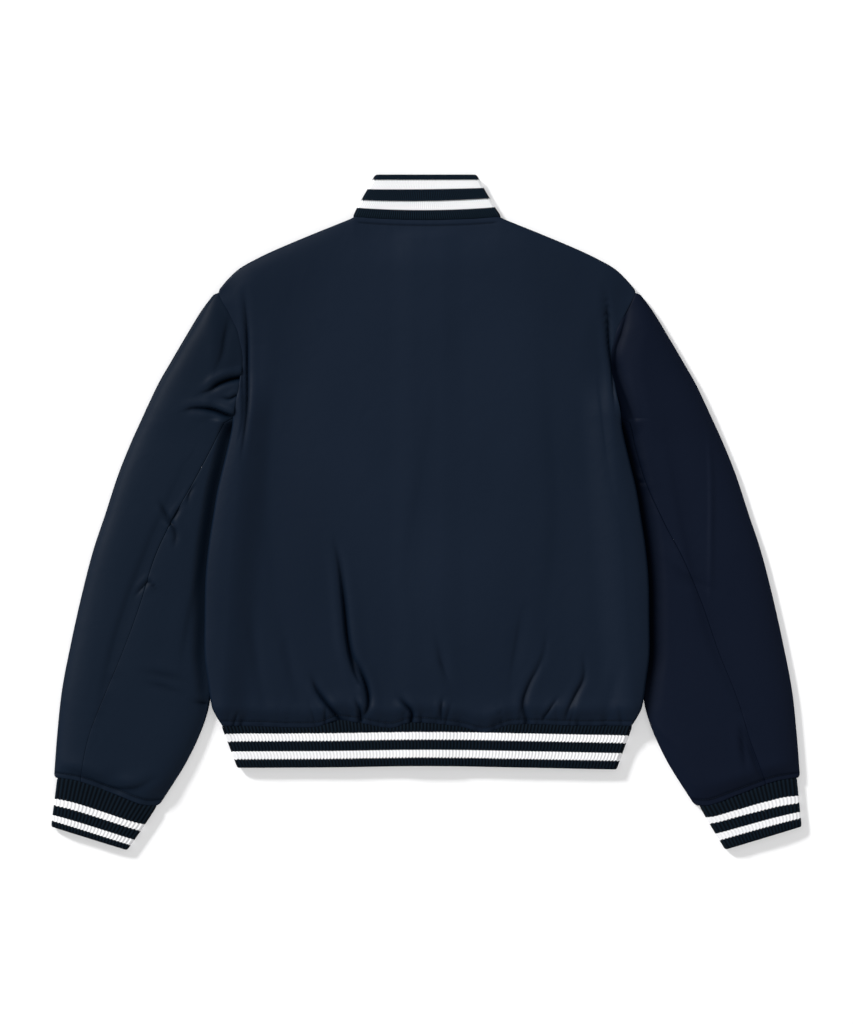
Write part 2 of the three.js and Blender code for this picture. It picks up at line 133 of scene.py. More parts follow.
SIDE = MM * np.array([  # height up the body, half width
    (-267, 256), (-254, 264), (-243, 269), (-210, 274), (-179, 278), (-135, 278), (-84, 277),
    (-42, 273), (-3, 267), (27, 262), (69, 252), (102, 244.5), (129, 241), (147, 237),
    (175, 232.5), (192, 231.5), (212, 234), (232, 240), (252, 250.5), (275, 262.5)])
SHOULDER = MM * np.array([  # distance from the centre, height
    (91, 368.9), (97, 366), (144, 347), (189, 328), (213, 316.5), (234, 304.5), (249, 290.5), (262.5, 274)])
HEM_WAVE = MM * np.array([  # place across, height of the back's hem seam
    (-256, -267), (-210, -268), (-165, -269.5), (-137, -268.5), (-111, -260.5), (-84, -263.5),
    (-45, -270), (-23, -263.5), (4, -264), (45, -269), (72, -275.5), (106, -266), (183, -267),
    (256, -267)])
SHOULDER_Y = 275 * MM
UNDERARM_Y = 115 * MM
HEM_Y = -267 * MM
NECK_HALF = 91 * MM
BACK_NECK = {"y": 364.8 * MM, "rise": 4.1 * MM, "power": 2, "half": 91 * MM}

# Where the sleeve's inner edge runs under the body: height, distance from the centre
SLEEVE_INNER = MM * np.array([
    (-366, 334), (-306, 297), (-250, 274), (-190, 266), (-125, 261.5), (-65, 257.5), (-15, 253.5),
    (35, 250), (78, 247), (111.5, 245), (117, 243.5)])
SIDE_LIFT = SLEEVE_DEPTH + 0.8 * MM
SIDE_RAMP = (52 * MM, 12 * MM)
SIDE_LIFT_TOP = (122 * MM, 182 * MM)
SIDE_LIFT_END = (-322 * MM, -236 * MM)
LAP_FLAT = 16 * MM
LAP_RAMP = 32 * MM
BACK_LAP_LIFT = 1.5 * MM

PUFF = 5.6 * MM  # how far the wadding and the air inside lift the cloth
ROLL = 12 * MM  # how soon the cloth rises from a folded edge
ARMHOLE_PUFF = 0.5
BLOUSE = {"height": 2.8 * MM, "above": 20 * MM, "width": 12 * MM}
TOPSTITCH = 7 * MM  # the row of stitches beside every rib seam
TOPSTITCH_DIP = 0.55 * MM
TOPSTITCH_REACH = 1.4 * MM
# Painted shade along the groove that the stitches draw in
TOPSTITCH_PAINTED_SHADE = 0.55
PUCKER = 0.75 * MM

# The folds of the back, in mm: width, the swell beside it as a share of its depth, and its path as
# place across, height and depth of the trough. The steep wall is on the right of the path, so a
# path runs down the body or from right to left.
BACK_FOLDS = {
    "long": (5.5, 0.3, [
        (-116, -36, 0.3), (-110, -64, 2.4), (-105, -110, 5.2), (-100, -160, 6.2), (-92, -196, 4.5),
        (-84, -214, 1.8)]),
    "long, lower": (4.5, 0.35, [
        (-96, -178, 0.5), (-84, -198, 4.0), (-76, -220, 5.6), (-74, -240, 4.4), (-79, -254, 1.6)]),
    "left gather": (4.5, 0.4, [
        (-144, -206, 0.4), (-137, -224, 3.6), (-124, -242, 5.0), (-112, -256, 4.0), (-106, -262, 2.5)]),
    "left gather, short": (3.0, 0.3, [(-88, -236, 0.4), (-84, -247, 3.0), (-83, -260, 3.2)]),
    "middle gather": (4.0, 0.4, [(-36, -230, 0.4), (-28, -240, 3.6), (-20, -250, 4.6), (-21, -262, 3.6)]),
    "middle, soft": (9, 0.3, [(10, -150, 0.2), (17, -178, 1.5), (26, -214, 0.3)]),
    "middle, soft, short": (5, 0.3, [(14, -176, 0.2), (18, -190, 1.4), (27, -210, 0.3)]),
    "middle, short": (3, 0.3, [(19, -232, 0.3), (17, -244, 2.4), (17, -260, 1.8)]),
    "right gather": (4.6, 0.2, [
        (149, -150, 0.2), (143, -182, 1.2), (126, -216, 2.6), (119, -240, 3.4), (124, -262, 2.4)]),
    "right, soft": (9, 0.3, [(120, -120, 0.2), (112, -165, 1.2), (104, -215, 0.3)]),
    "right slant": (4.5, 0.2, [
        (195, -180, 0.3), (195, -206, 2.0), (184, -229, 2.9), (175, -248, 2.2), (173, -258, 1.2)]),
    "right slant, short": (3.2, 0.2, [(162, -232, 0.4), (153, -245, 2.1), (145, -256, 1.9)]),
    "far right, soft": (8, 0.3, [(238, -190, 0.2), (231, -222, 1.3), (224, -250, 0.7)]),
    "far left, soft": (8, 0.3, [(-222, -120, 0.2), (-214, -180, 1.4), (-204, -240, 0.8)]),
    "left, soft": (8, 0.3, [(-182, -140, 0.2), (-172, -190, 1.3), (-160, -236, 0.6)]),
    "beside left armhole": (4, 0.25, [
        (-229, 276, 0.6), (-225.5, 228, 3.2), (-225, 180, 3.8), (-225, 128, 3.4), (-231, 72, 0.4)]),
    "left armhole, inner": (3.5, 0.2, [
        (-231, 215, 0.3), (-231, 175, 1.4), (-230, 120, 1.6), (-236, 84, 0.3)]),
    "beside right armhole": (4, 0.25, [
        (219, 280, 0.6), (224, 245, 3.2), (226, 210, 3.8), (230, 178, 3.2), (233, 130, 0.5)]),
    "right armhole, long": (8, 0.2, [(214, 170, 0.2), (220, 110, 1.2), (228, 40, 0.9), (240, -10, 0.2)]),
    "left shade": (34, 0.2, [(-175, 250, 0.3), (-190, 120, 1.4), (-195, 0, 1.8), (-180, -150, 0.6)]),
    "right shade": (38, 0.2, [(150, 220, 0.3), (160, 90, 1.6), (165, -20, 1.8), (150, -150, 0.6)]),
    "centre shade": (30, 0.3, [(20, 180, 0.2), (0, 60, 1.0), (-20, -60, 1.2), (-10, -140, 0.3)]),
}


def lerp(a, b, t):
    return a + (b - a) * t


def smooth(x, start, stop):
    t = np.clip((x - start) / (stop - start), 0, 1)
    return t * t * (3 - 2 * t)


def rise(distance, within):
    """From 0 at a folded edge towards 1, most of it within the given distance."""
    return 1 - np.exp(-np.maximum(distance, 0) / within)


def fade(distance, within):
    """From 1 at a seam towards 0, most of it within the given distance."""
    return np.exp(-distance / within)


def bell(distance, width):
    """From 1 on a line to 0 on both sides of it, in a smooth swell."""
    return np.exp(-((distance / width) ** 2))


def curve(table, at, column=1):
    """One column of a table at each value of its first column, on a smooth curve."""
    xs, ys = table[:, 0], table[:, column]
    at = np.clip(at, xs[0], xs[-1])
    i = np.clip(np.searchsorted(xs, at, side="right") - 1, 0, len(xs) - 2)
    order = np.arange(len(xs))
    before, after = np.maximum(order - 1, 0), np.minimum(order + 1, len(xs) - 1)
    slope = (ys[after] - ys[before]) / (xs[after] - xs[before])
    span = xs[i + 1] - xs[i]
    t = (at - xs[i]) / span
    bend = slope[i] * (t**3 - 2 * t**2 + t) + slope[i + 1] * (t**3 - t**2)
    return ys[i] * (2 * t**3 - 3 * t**2 + 1) + ys[i + 1] * (3 * t**2 - 2 * t**3) + span * bend


def stops(*runs):
    """Even steps along a chain of runs, each (from, to, count)."""
    parts = [np.array([runs[0][0]], float)]
    parts += [np.linspace(start, stop, count + 1)[1:] for start, stop, count in runs]
    return np.concatenate(parts)


KNOTS = 64  # random heights before a wobble repeats


def wobble(at, pitch, seed):
    """Uneven soft waves between -1 and 1, one for each pitch or so."""
    knots = np.random.default_rng(seed).uniform(-1, 1, KNOTS)
    place_on = at / pitch + KNOTS * 4
    knot = np.floor(place_on).astype(int)
    return lerp(knots[knot % KNOTS], knots[(knot + 1) % KNOTS], smooth(place_on - knot, 0, 1))


def uneven(x, y, pitch_x, pitch_y, seed):
    """Soft unevenness over a surface, between -1 and 1."""
    knots = np.random.default_rng(seed).uniform(-1, 1, (KNOTS, KNOTS))
    across, up = x / pitch_x + KNOTS * 4, y / pitch_y + KNOTS * 4
    i, j = np.floor(across).astype(int), np.floor(up).astype(int)
    s, t = smooth(across - i, 0, 1), smooth(up - j, 0, 1)
    i0, i1, j0, j1 = i % KNOTS, (i + 1) % KNOTS, j % KNOTS, (j + 1) % KNOTS
    return lerp(lerp(knots[i0, j0], knots[i1, j0], s), lerp(knots[i0, j1], knots[i1, j1], s), t)


FOLD_PARTS = 26  # straight parts along each fold's curve
FOLD_REACH = 4  # a fold shapes the cloth this many times its width away
STEEP = 0.36  # a trough's steep wall, as a share of its gentle one
# How dark the painted shade in a crease gets, for the crease's depth over its width
PAINTED_CREASE_DARK = 0.9


def fold_height(x, y, folds):
    """The height that troughs and the swells beside them give to each point, and its painted shade,
    from 0 to 1, deepest down in a crease. A trough has the depth that its path states, with its
    steep wall on the right of the path."""
    x, y = np.broadcast_arrays(x, y)
    height, painted_shade = np.zeros(x.shape), np.zeros(x.shape)
    for width_mm, swell, spots in folds:
        path = np.array(spots, float) * MM
        width = width_mm * MM
        room = FOLD_REACH * width
        here = (x > path[:, 0].min() - room) & (x < path[:, 0].max() + room)
        here &= (y > path[:, 1].min() - room) & (y < path[:, 1].max() + room)
        at_x, at_y = x[here], y[here]
        knots = np.column_stack([np.arange(len(path)), path])
        at = np.linspace(0, len(path) - 1, FOLD_PARTS)
        px, py, depth = (curve(knots, at, column) for column in (1, 2, 3))
        nearest = np.full(at_x.shape, np.inf)
        signed, deep = np.zeros(at_x.shape), np.zeros(at_x.shape)
        for k in range(FOLD_PARTS - 1):
            dx, dy = px[k + 1] - px[k], py[k + 1] - py[k]
            t = np.clip(((at_x - px[k]) * dx + (at_y - py[k]) * dy) / (dx * dx + dy * dy), 0, 1)
            away_x, away_y = at_x - px[k] - t * dx, at_y - py[k] - t * dy
            away = np.hypot(away_x, away_y)
            closer = away < nearest
            nearest = np.where(closer, away, nearest)
            signed = np.where(closer, away * np.sign(dx * away_y - dy * away_x), signed)
            deep = np.where(closer, lerp(depth[k], depth[k + 1], t), deep)
        trough = bell(signed, np.where(signed < 0, STEEP * width, width))
        swell_right = bell(signed + 1.5 * width, 1.1 * width)
        swell_left = 0.4 * bell(signed - 2.4 * width, 1.3 * width)
        height[here] += deep * (swell * (swell_right + swell_left) - trough)
        painted_shade[here] = np.maximum(painted_shade[here], np.clip(PAINTED_CREASE_DARK * trough * deep / width, 0, 1))
    return height, painted_shade


GATHERED_HALF = 248  # mm from the centre to the last gather
GATHER_SWELL = 0.35


def hem_gathers(count, seed):
    """Short creases where the cloth is eased on to the rib, between the main folds."""
    draw = np.random.default_rng(seed)
    gathers = []
    for k in range(count):
        foot_x = lerp(-GATHERED_HALF, GATHERED_HALF, (k + draw.uniform(0.1, 0.9)) / count)
        foot_y = curve(HEM_WAVE, foot_x * MM) / MM - 2
        length, lean = draw.uniform(9, 40), draw.uniform(-0.4, 0.4)
        depth = draw.uniform(0.5, 1.9)
        gathers.append((draw.uniform(2.2, 4.5), GATHER_SWELL, [
            (foot_x + lean * length, foot_y + length, 0.1),
            (foot_x + 0.4 * lean * length, foot_y + 0.5 * length, 0.8 * depth),
            (foot_x, foot_y, depth)]))
    return gathers


def half_width(y):
    return curve(SIDE, y)


def top_y(neck, x):
    round_neck = neck["y"] + neck["rise"] * np.minimum(np.abs(x) / neck["half"], 1) ** neck["power"]
    return np.where(np.abs(x) < NECK_HALF, round_neck, curve(SHOULDER, np.abs(x)))


def side_lift(x, y):
    """How far the body's cloth is raised where it lies on the sleeve's inner edge."""
    edge = curve(SLEEVE_INNER, y)
    across = smooth(np.abs(x), edge - SIDE_RAMP[0], edge - SIDE_RAMP[1])
    return SIDE_LIFT * across * (1 - smooth(y, *SIDE_LIFT_TOP)) * smooth(y, *SIDE_LIFT_END)


def lap_lift(x, lift):
    return lift * (1 - smooth(np.abs(x), LAP_FLAT, LAP_FLAT + LAP_RAMP))


def armhole_level(y):
    return ARMHOLE_PUFF * rise(SHOULDER_Y - y, ROLL)


def armhole_pucker(side, y, from_seam):
    """Both sides of the armhole seam pucker together."""
    return 0.5 * PUCKER * wobble(y, 9 * MM, 57 + side) * fade(from_seam, 8 * MM)


def body_surface(shares, ups, side, centre, neck, hem, level):
    """Middle surface of the back or of a front, without its folds. A share runs from the centre or
    lap edge (0) to the folded edge (1) and round a quarter turn (2), and ups run from the hem to
    the shoulder the same way."""
    inset = BODY_DEPTH / 2
    radius = inset - WALL / 2
    flat = np.minimum(shares, 1)

    def across(y):
        edge = side * (half_width(np.minimum(y, SHOULDER_Y)) - inset)
        return centre + (edge - centre) * flat

    hem_y = hem(across(HEM_Y)) + SEAM_GAP / 2
    top_x = across(SHOULDER_Y) + side * inset * np.clip(shares - 1, 0, 1)
    y = lerp(hem_y, top_y(neck, top_x) - inset, np.minimum(ups, 1))
    x = across(y)
    quarter = math.pi / 2 - FOLD_STOP
    to_seam = inset - SEAM_GAP / 2
    side_turn, top_turn = np.maximum(shares - 1, 0), np.maximum(ups - 1, 0)
    side_folded = 1 - smooth(y, UNDERARM_Y - 6 * MM, UNDERARM_Y + 6 * MM)
    top_folded = smooth(np.abs(top_x), NECK_HALF - 3 * MM, NECK_HALF + 3 * MM)
    x = x + side * lerp(to_seam * side_turn, radius * np.sin(side_turn * quarter), side_folded)
    y = y + lerp(to_seam * top_turn, radius * np.sin(top_turn * quarter), top_folded)
    drop = radius * np.maximum(side_folded * (1 - np.cos(side_turn * quarter)),
                               top_folded * (1 - np.cos(top_turn * quarter)))
    z = inset + level * (radius - drop) + side_lift(x, y)
    return np.stack(np.broadcast_arrays(x, y, z), axis=-1)


def edge_distance(points, closed):
    """How far each point of a grid is from the grid's nearest open edge."""
    def from_ends(steps_along, axis):
        lengths = np.linalg.norm(steps_along, axis=2)
        from_first = np.cumsum(np.insert(lengths, 0, 0, axis=axis), axis=axis)
        total = from_first[-1:] if axis == 0 else from_first[:, -1:]
        return np.minimum(from_first, total - from_first)

    away = from_ends(np.diff(points, axis=0), 0)
    if not closed:
        away = np.minimum(away, from_ends(np.diff(points, axis=1), 1))
    return away


EDGE_ROUND = 0.5 * MM


def cloth(name, points, outer, finish, closed=False, edge=0.6, sink=0.35 * MM, sink_reach=1.8 * MM,
          ridge=0.0, marks=()):
    """A closed wall of cloth round a grid of middle points, with rounded edges that dip at the
    seams. `outer` is the side of the grid that faces out, `ridge` raises that side, and `edge` is
    the share of its thickness that the cloth keeps at an edge."""
    rows, columns = points.shape[:2]
    if closed:
        along = np.roll(points, -1, axis=1) - np.roll(points, 1, axis=1)
    else:
        along = np.gradient(points, axis=1)
    normal = np.cross(along, np.gradient(points, axis=0))
    normal /= np.linalg.norm(normal, axis=2, keepdims=True)
    away = edge_distance(points, closed)
    dip = sink * bell(away, sink_reach)
    points = points - outer * normal * dip[..., None]
    near = 1 - np.minimum(away / EDGE_ROUND, 1)
    fullness = lerp(edge, 1, np.sqrt(1 - near**2))
    half = WALL / 2 * fullness
    ridge = np.broadcast_to(ridge, half.shape) * fullness
    facing = [half + (ridge if outer > 0 else 0), half + (ridge if outer < 0 else 0)]
    layers = [points + normal * facing[0][..., None], points - normal * facing[1][..., None]]
    index = np.arange(rows * columns).reshape(rows, columns)
    if closed:
        index = np.column_stack([index, index[:, 0]])
    a, b, c, d = index[:-1, :-1], index[:-1, 1:], index[1:, 1:], index[1:, :-1]
    other = rows * columns
    quads = [np.stack([a, b, c, d], -1), np.stack([a, d, c, b], -1) + other]
    first, last = index[0], index[-1]
    quads.append(np.stack([first[:-1], first[:-1] + other, first[1:] + other, first[1:]], -1))
    quads.append(np.stack([last[:-1], last[1:], last[1:] + other, last[:-1] + other], -1))
    if not closed:
        start, end = index[:, 0], index[:, -1]
        quads.append(np.stack([start[:-1], start[1:], start[1:] + other, start[:-1] + other], -1))
        quads.append(np.stack([end[:-1], end[:-1] + other, end[1:] + other, end[1:]], -1))
    faces = np.concatenate([q.reshape(-1, 4) for q in quads])
    mesh = bpy.data.meshes.new(name)
    mesh.from_pydata(np.concatenate([layer.reshape(-1, 3) for layer in layers]), [], faces)
    for mark, values in dict(marks).items():
        both = np.tile(np.broadcast_to(values, (rows, columns)).ravel(), 2)
        mesh.attributes.new(mark, "FLOAT", "POINT").data.foreach_set("value", both.astype(np.float32))
    mesh.shade_smooth()
    mesh.materials.append(finish)
    return place(name, mesh)


def shader_group(name, inputs, outputs):
    """An empty node group with float inputs and outputs, and its two end nodes."""
    tree = bpy.data.node_groups.new(name, "ShaderNodeTree")
    for socket, value in inputs.items():
        entry = tree.interface.new_socket(socket, in_out="INPUT", socket_type="NodeSocketFloat")
        entry.default_value = value
    for socket in outputs:
        tree.interface.new_socket(socket, in_out="OUTPUT", socket_type="NodeSocketFloat")
    return tree, tree.nodes.new("NodeGroupInput"), tree.nodes.new("NodeGroupOutput")


def add_node(tree, kind, inputs=(), **settings):
    """A node with its settings, and its inputs set to values or linked to sockets."""
    node = tree.nodes.new(kind)
    for setting, value in settings.items():
        setattr(node, setting, value)
    fill_in(tree, node, inputs)
    return node


def maths(tree, operation, first, second=0.0):
    return add_node(tree, "ShaderNodeMath", {0: first, 1: second}, operation=operation).outputs[0]


def blend(tree, factor, first, second):
    """A colour between two others."""
    mixed = add_node(tree, "ShaderNodeMix", {"Factor": factor, "A": first, "B": second}, data_type="RGBA")
    return mixed.outputs["Result"]


# Nylon satin: a fine diagonal weave, small soft crumples, and a shade that drifts over the cloth
satin, satin_in, satin_out = shader_group(
    "nylon_satin", {"Weave Scale": 90.0, "Crumple Scale": 34.0, "Drift Scale": 5.0},
    ["Weave", "Crumple", "Drift"])
cloth_place = satin.nodes.new("ShaderNodeTexCoord").outputs["Object"]
twill = add_node(satin, "ShaderNodeTexWave",
                 {"Vector": cloth_place, "Scale": satin_in.outputs["Weave Scale"], "Distortion": 0.6,
                  "Detail": 1.0, "Detail Scale": 2.0},
                 wave_type="BANDS", bands_direction="DIAGONAL")
threads = add_node(satin, "ShaderNodeTexNoise",
                   {"Vector": cloth_place, "Scale": 900.0, "Detail": 1.0})
crumple = add_node(satin, "ShaderNodeTexNoise",
                   {"Vector": cloth_place, "Scale": satin_in.outputs["Crumple Scale"], "Detail": 3.0,
                    "Roughness": 0.45, "Distortion": 0.7})
drift = add_node(satin, "ShaderNodeTexNoise",
                 {"Vector": cloth_place, "Scale": satin_in.outputs["Drift Scale"], "Detail": 2.0})
fill_in(satin, satin_out, {
    "Weave": maths(satin, "ADD", twill.outputs["Fac"], threads.outputs["Fac"]),
    "Crumple": crumple.outputs["Fac"], "Drift": drift.outputs["Fac"]})


STITCH_PITCH = 3.2 * MM
STITCH_LENGTH = 2.3 * MM
THREAD = 0.28 * MM  # the thread's radius
THREAD_RISE = 0.4  # a stitch's middle lies this share of its radius above the cloth
STITCH_RINGS = [(-0.5, 0.35), (-0.3, 1), (0.3, 1), (0.5, 0.35)]  # place along it, share of the radius
STITCH_SIDES = 6


def stitch_rows(name, paths, piece, up=1, split=0.0):
    """Rows of stitches that lie on a piece, seen from above or, where up is -1, from below. The
    split is a height between the two layers of a tube."""
    surface = BVHTree.FromObject(piece, bpy.context.evaluated_depsgraph_get())
    turned = np.arange(STITCH_SIDES) * 2 * np.pi / STITCH_SIDES
    points, faces = [], []
    for path in paths:
        lengths = np.insert(np.cumsum(np.linalg.norm(np.diff(path, axis=0), axis=1)), 0, 0)
        for k in range(int(lengths[-1] / STITCH_PITCH)):
            ends = []
            for way in (-0.5, 0.5):
                at = (k + 0.5) * STITCH_PITCH + way * STITCH_LENGTH
                spot = [np.interp(at, lengths, path[:, axis]) for axis in (0, 1)]
                hit = surface.ray_cast(Vector((*spot, 0.1 * up)), Vector((0, 0, -up)))[0]
                if hit and up * (hit.z - split) > 0:
                    ends.append(np.array(hit))
            if len(ends) < 2:
                continue
            along = (ends[1] - ends[0]) / np.linalg.norm(ends[1] - ends[0])
            sideways = np.cross(along, (0, 0, up))
            sideways /= np.linalg.norm(sideways)
            lift = np.cross(sideways, along)
            first = len(points)
            for step, share in STITCH_RINGS:
                centre = lerp(ends[0], ends[1], 0.5 + step) + THREAD_RISE * THREAD * lift
                ring = np.cos(turned)[:, None] * sideways + np.sin(turned)[:, None] * lift
                points.extend(centre + THREAD * share * ring)
            for ring in range(len(STITCH_RINGS) - 1):
                corner = first + ring * STITCH_SIDES
                for here in range(STITCH_SIDES):
                    following = (here + 1) % STITCH_SIDES
                    faces.append((corner + here, corner + following, corner + following + STITCH_SIDES,
                                  corner + here + STITCH_SIDES))
            faces.append(tuple(range(first + STITCH_SIDES - 1, first - 1, -1)))
            faces.append(tuple(range(len(points) - STITCH_SIDES, len(points))))
    mesh = bpy.data.meshes.new(name)
    mesh.from_pydata([tuple(point) for point in points], [], faces)
    mesh.shade_smooth()
    mesh.materials.append(thread)
    rows = place(name, mesh)
    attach(rows, "root")
    return rows


thread, tree, shader = new_finish("navy_polyester_thread")
thread_place = tree.nodes.new("ShaderNodeTexCoord").outputs["Object"]
plies = add_node(tree, "ShaderNodeTexWave",
                 {"Vector": thread_place, "Scale": 1400.0, "Distortion": 1.0, "Detail": 1.0},
                 wave_type="BANDS", bands_direction="DIAGONAL")
twisted = blend(tree, plies.outputs["Fac"], (0.0022, 0.0050, 0.0110, 1), (0.0058, 0.0125, 0.0250, 1))
fill_in(tree, shader, {"Base Color": twisted, "Roughness": 0.5, "Specular IOR Level": 0.15})

# Painted shade: the colour deep in a crease, as a share of the cloth's dark shade
PAINTED_CREASE_SHADE = 0.25  # little light gets into a deep crease


def nylon(name, dark, light, shine):
    """Navy nylon satin between two shades, with painted shade where its mesh marks it, darkest and least
    shiny down in its creases.
    """
    finish, tree, shader = new_finish(name)
    weave = add_node(tree, "ShaderNodeGroup", node_tree=satin)
    shade = blend(tree, weave.outputs["Drift"], (*dark, 1), (*light, 1))
    # The mesh's mark of painted shade, and the colour that painted shade darkens to
    painted_shade_node = add_node(tree, "ShaderNodeAttribute", attribute_name="painted_shade")
    crease_shade_colour = (*(PAINTED_CREASE_SHADE * part for part in dark), 1)
    gloss = add_node(tree, "ShaderNodeMapRange",
                     {"Value": weave.outputs["Drift"], "To Min": 0.44, "To Max": 0.56})
    soft = add_node(tree, "ShaderNodeBump",
                    {"Strength": 0.5, "Distance": 0.0009, "Height": weave.outputs["Crumple"]})
    fine = add_node(tree, "ShaderNodeBump",
                    {"Strength": 0.25, "Distance": 0.00005, "Height": weave.outputs["Weave"],
                     "Normal": soft.outputs["Normal"]})
    # Painted shade also takes the shine out of the creases
    shine_in_shade = add_node(tree, "ShaderNodeMapRange",
                     {"Value": painted_shade_node.outputs["Fac"], "To Min": shine, "To Max": 0.0})
    slant = add_node(tree, "ShaderNodeLayerWeight", {"Blend": 0.5})  # satin is dull seen along it
    dulling = add_node(tree, "ShaderNodeMapRange",
                       {"Value": slant.outputs["Facing"], "From Min": 0.1, "From Max": 0.6,
                        "To Min": 1.0, "To Max": 0.04})
    fill_in(tree, shader, {
        "Base Color": blend(tree, painted_shade_node.outputs["Fac"], shade, crease_shade_colour),
        "Roughness": gloss.outputs["Result"], "Normal": fine.outputs["Normal"],
        "Specular IOR Level": maths(tree, "MULTIPLY", shine_in_shade.outputs["Result"], dulling.outputs["Result"]),
        "Sheen Weight": 0.01, "Sheen Roughness": 0.4, "Sheen Tint": (0.75, 0.85, 1, 1)})
    return finish


body_nylon = nylon("navy_nylon_body", (0.0044, 0.0106, 0.0235), (0.0062, 0.0132, 0.0285), 0.09)

# Painted shade: the back is darkened away from its middle, in a ring about the place below
BACK_PAINTED_SHADE = 0.14  # the middle of the back catches the most light
BRIGHT_Y = 150 * MM
BRIGHT_RING = (90 * MM, 190 * MM)
ARMHOLE_SPREAD = 45 * MM  # how far in from the armhole and the neck the cloth is at its fullest
NECK_SPREAD = 60 * MM
BACK_WAVES = [(1.3, 110, 210, 21), (0.5, 42, 75, 22)]  # height, pitch across and up in mm, seed


def back_height(x, y):
    """Everything that lifts or dips the back from its plain surface, and its painted shade."""
    side_in = half_width(y) - np.abs(x)
    top_in = top_y(BACK_NECK, x) - y
    hem_in = y - curve(HEM_WAVE, x)
    folded = 1 - smooth(y, UNDERARM_Y, UNDERARM_Y + 25 * MM)
    armhole = lerp(armhole_level(y), 1, smooth(side_in, 0, ARMHOLE_SPREAD))
    side = lerp(armhole, rise(side_in, ROLL), folded)
    beyond_neck = smooth(np.abs(x), NECK_HALF - 30 * MM, NECK_HALF + 40 * MM)
    top = lerp(smooth(top_in, 0, NECK_SPREAD), rise(top_in, ROLL), beyond_neck)
    room_here = side * top * smooth(hem_in, -4 * MM, 26 * MM)
    puff = PUFF * room_here
    blouse = BLOUSE["height"] * bell(hem_in - BLOUSE["above"], BLOUSE["width"])
    blouse *= side * (0.8 + 0.35 * wobble(x, 38 * MM, 11))
    broad = sum(height * MM * uneven(x, y, across * MM, up * MM, seed)
                for height, across, up, seed in BACK_WAVES)
    edge_room = smooth(np.minimum(side_in + 20 * MM * (1 - folded), top_in), 2 * MM, 16 * MM)
    edge_room = edge_room * smooth(hem_in, -6 * MM, 3 * MM)
    folds, painted_shade = fold_height(x, y, [*BACK_FOLDS.values(), *hem_gathers(38, 35)])
    sides = armhole_pucker(np.where(x < 0, -1, 1), y, np.maximum(side_in, 0)) * (1 - folded)
    hem_pucker = wobble(x, 7 * MM, 31) * fade(np.maximum(hem_in, 0), 9 * MM)
    neck_pucker = 0.5 * wobble(x, 6 * MM, 32) * fade(np.maximum(top_in, 0), 7 * MM) * (1 - beyond_neck)
    within_neck = 1 - smooth(np.abs(x), NECK_HALF - 8 * MM, NECK_HALF - 2 * MM)
    stitched = bell(hem_in - TOPSTITCH, TOPSTITCH_REACH)
    stitched += bell(top_in - TOPSTITCH, TOPSTITCH_REACH) * within_neck
    height = (puff + blouse + broad * room_here + folds * edge_room + sides
              + PUCKER * (hem_pucker + neck_pucker) - TOPSTITCH_DIP * stitched
              + lap_lift(x, BACK_LAP_LIFT) * smooth(top_in, 8 * MM, 24 * MM))
    # The back's painted shade: in its creases, away from its middle, and along its stitched grooves
    off_centre_shade = BACK_PAINTED_SHADE * smooth(np.hypot(x, 0.5 * (y - BRIGHT_Y)), *BRIGHT_RING)
    return height, np.maximum.reduce([painted_shade * edge_room, off_centre_shade, TOPSTITCH_PAINTED_SHADE * stitched])


# Points stand closer together where the folds are, and in from each edge
back_turns = stops((-2, -1, 6), (-1, -0.9, 18), (-0.9, -0.56, 20), (-0.56, -0.22, 60), (-0.22, 0.13, 46),
                   (0.13, 0.36, 16), (0.36, 0.75, 58), (0.75, 0.9, 8), (0.9, 1, 18), (1, 2, 6))
body_ups = stops((0, 0.004, 4), (0.004, 0.1, 36), (0.1, 0.36, 44), (0.36, 0.96, 62), (0.96, 0.999, 12),
                 (0.999, 1, 2), (1, 2, 7))
back_points = body_surface(
    np.abs(back_turns)[None, :], body_ups[:, None], np.where(back_turns < 0, -1, 1)[None, :], 0,
    BACK_NECK, lambda x: curve(HEM_WAVE, x), 1)
back_lift, back_painted_shade = back_height(back_points[..., 0], back_points[..., 1])
back_points[..., 2] += back_lift
back = cloth("back_cloth", back_points, 1, body_nylon, marks={"painted_shade": back_painted_shade})
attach(back, "root")
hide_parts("back")
across_hem = np.linspace(-247, 247, 120) * MM
across_neck = np.linspace(-82, 82, 60) * MM
back_stitches = stitch_rows("stitches_back", [
    np.column_stack([across_hem, curve(HEM_WAVE, across_hem) + TOPSTITCH]),
    np.column_stack([across_neck, top_y(BACK_NECK, across_neck) - TOPSTITCH])], back)

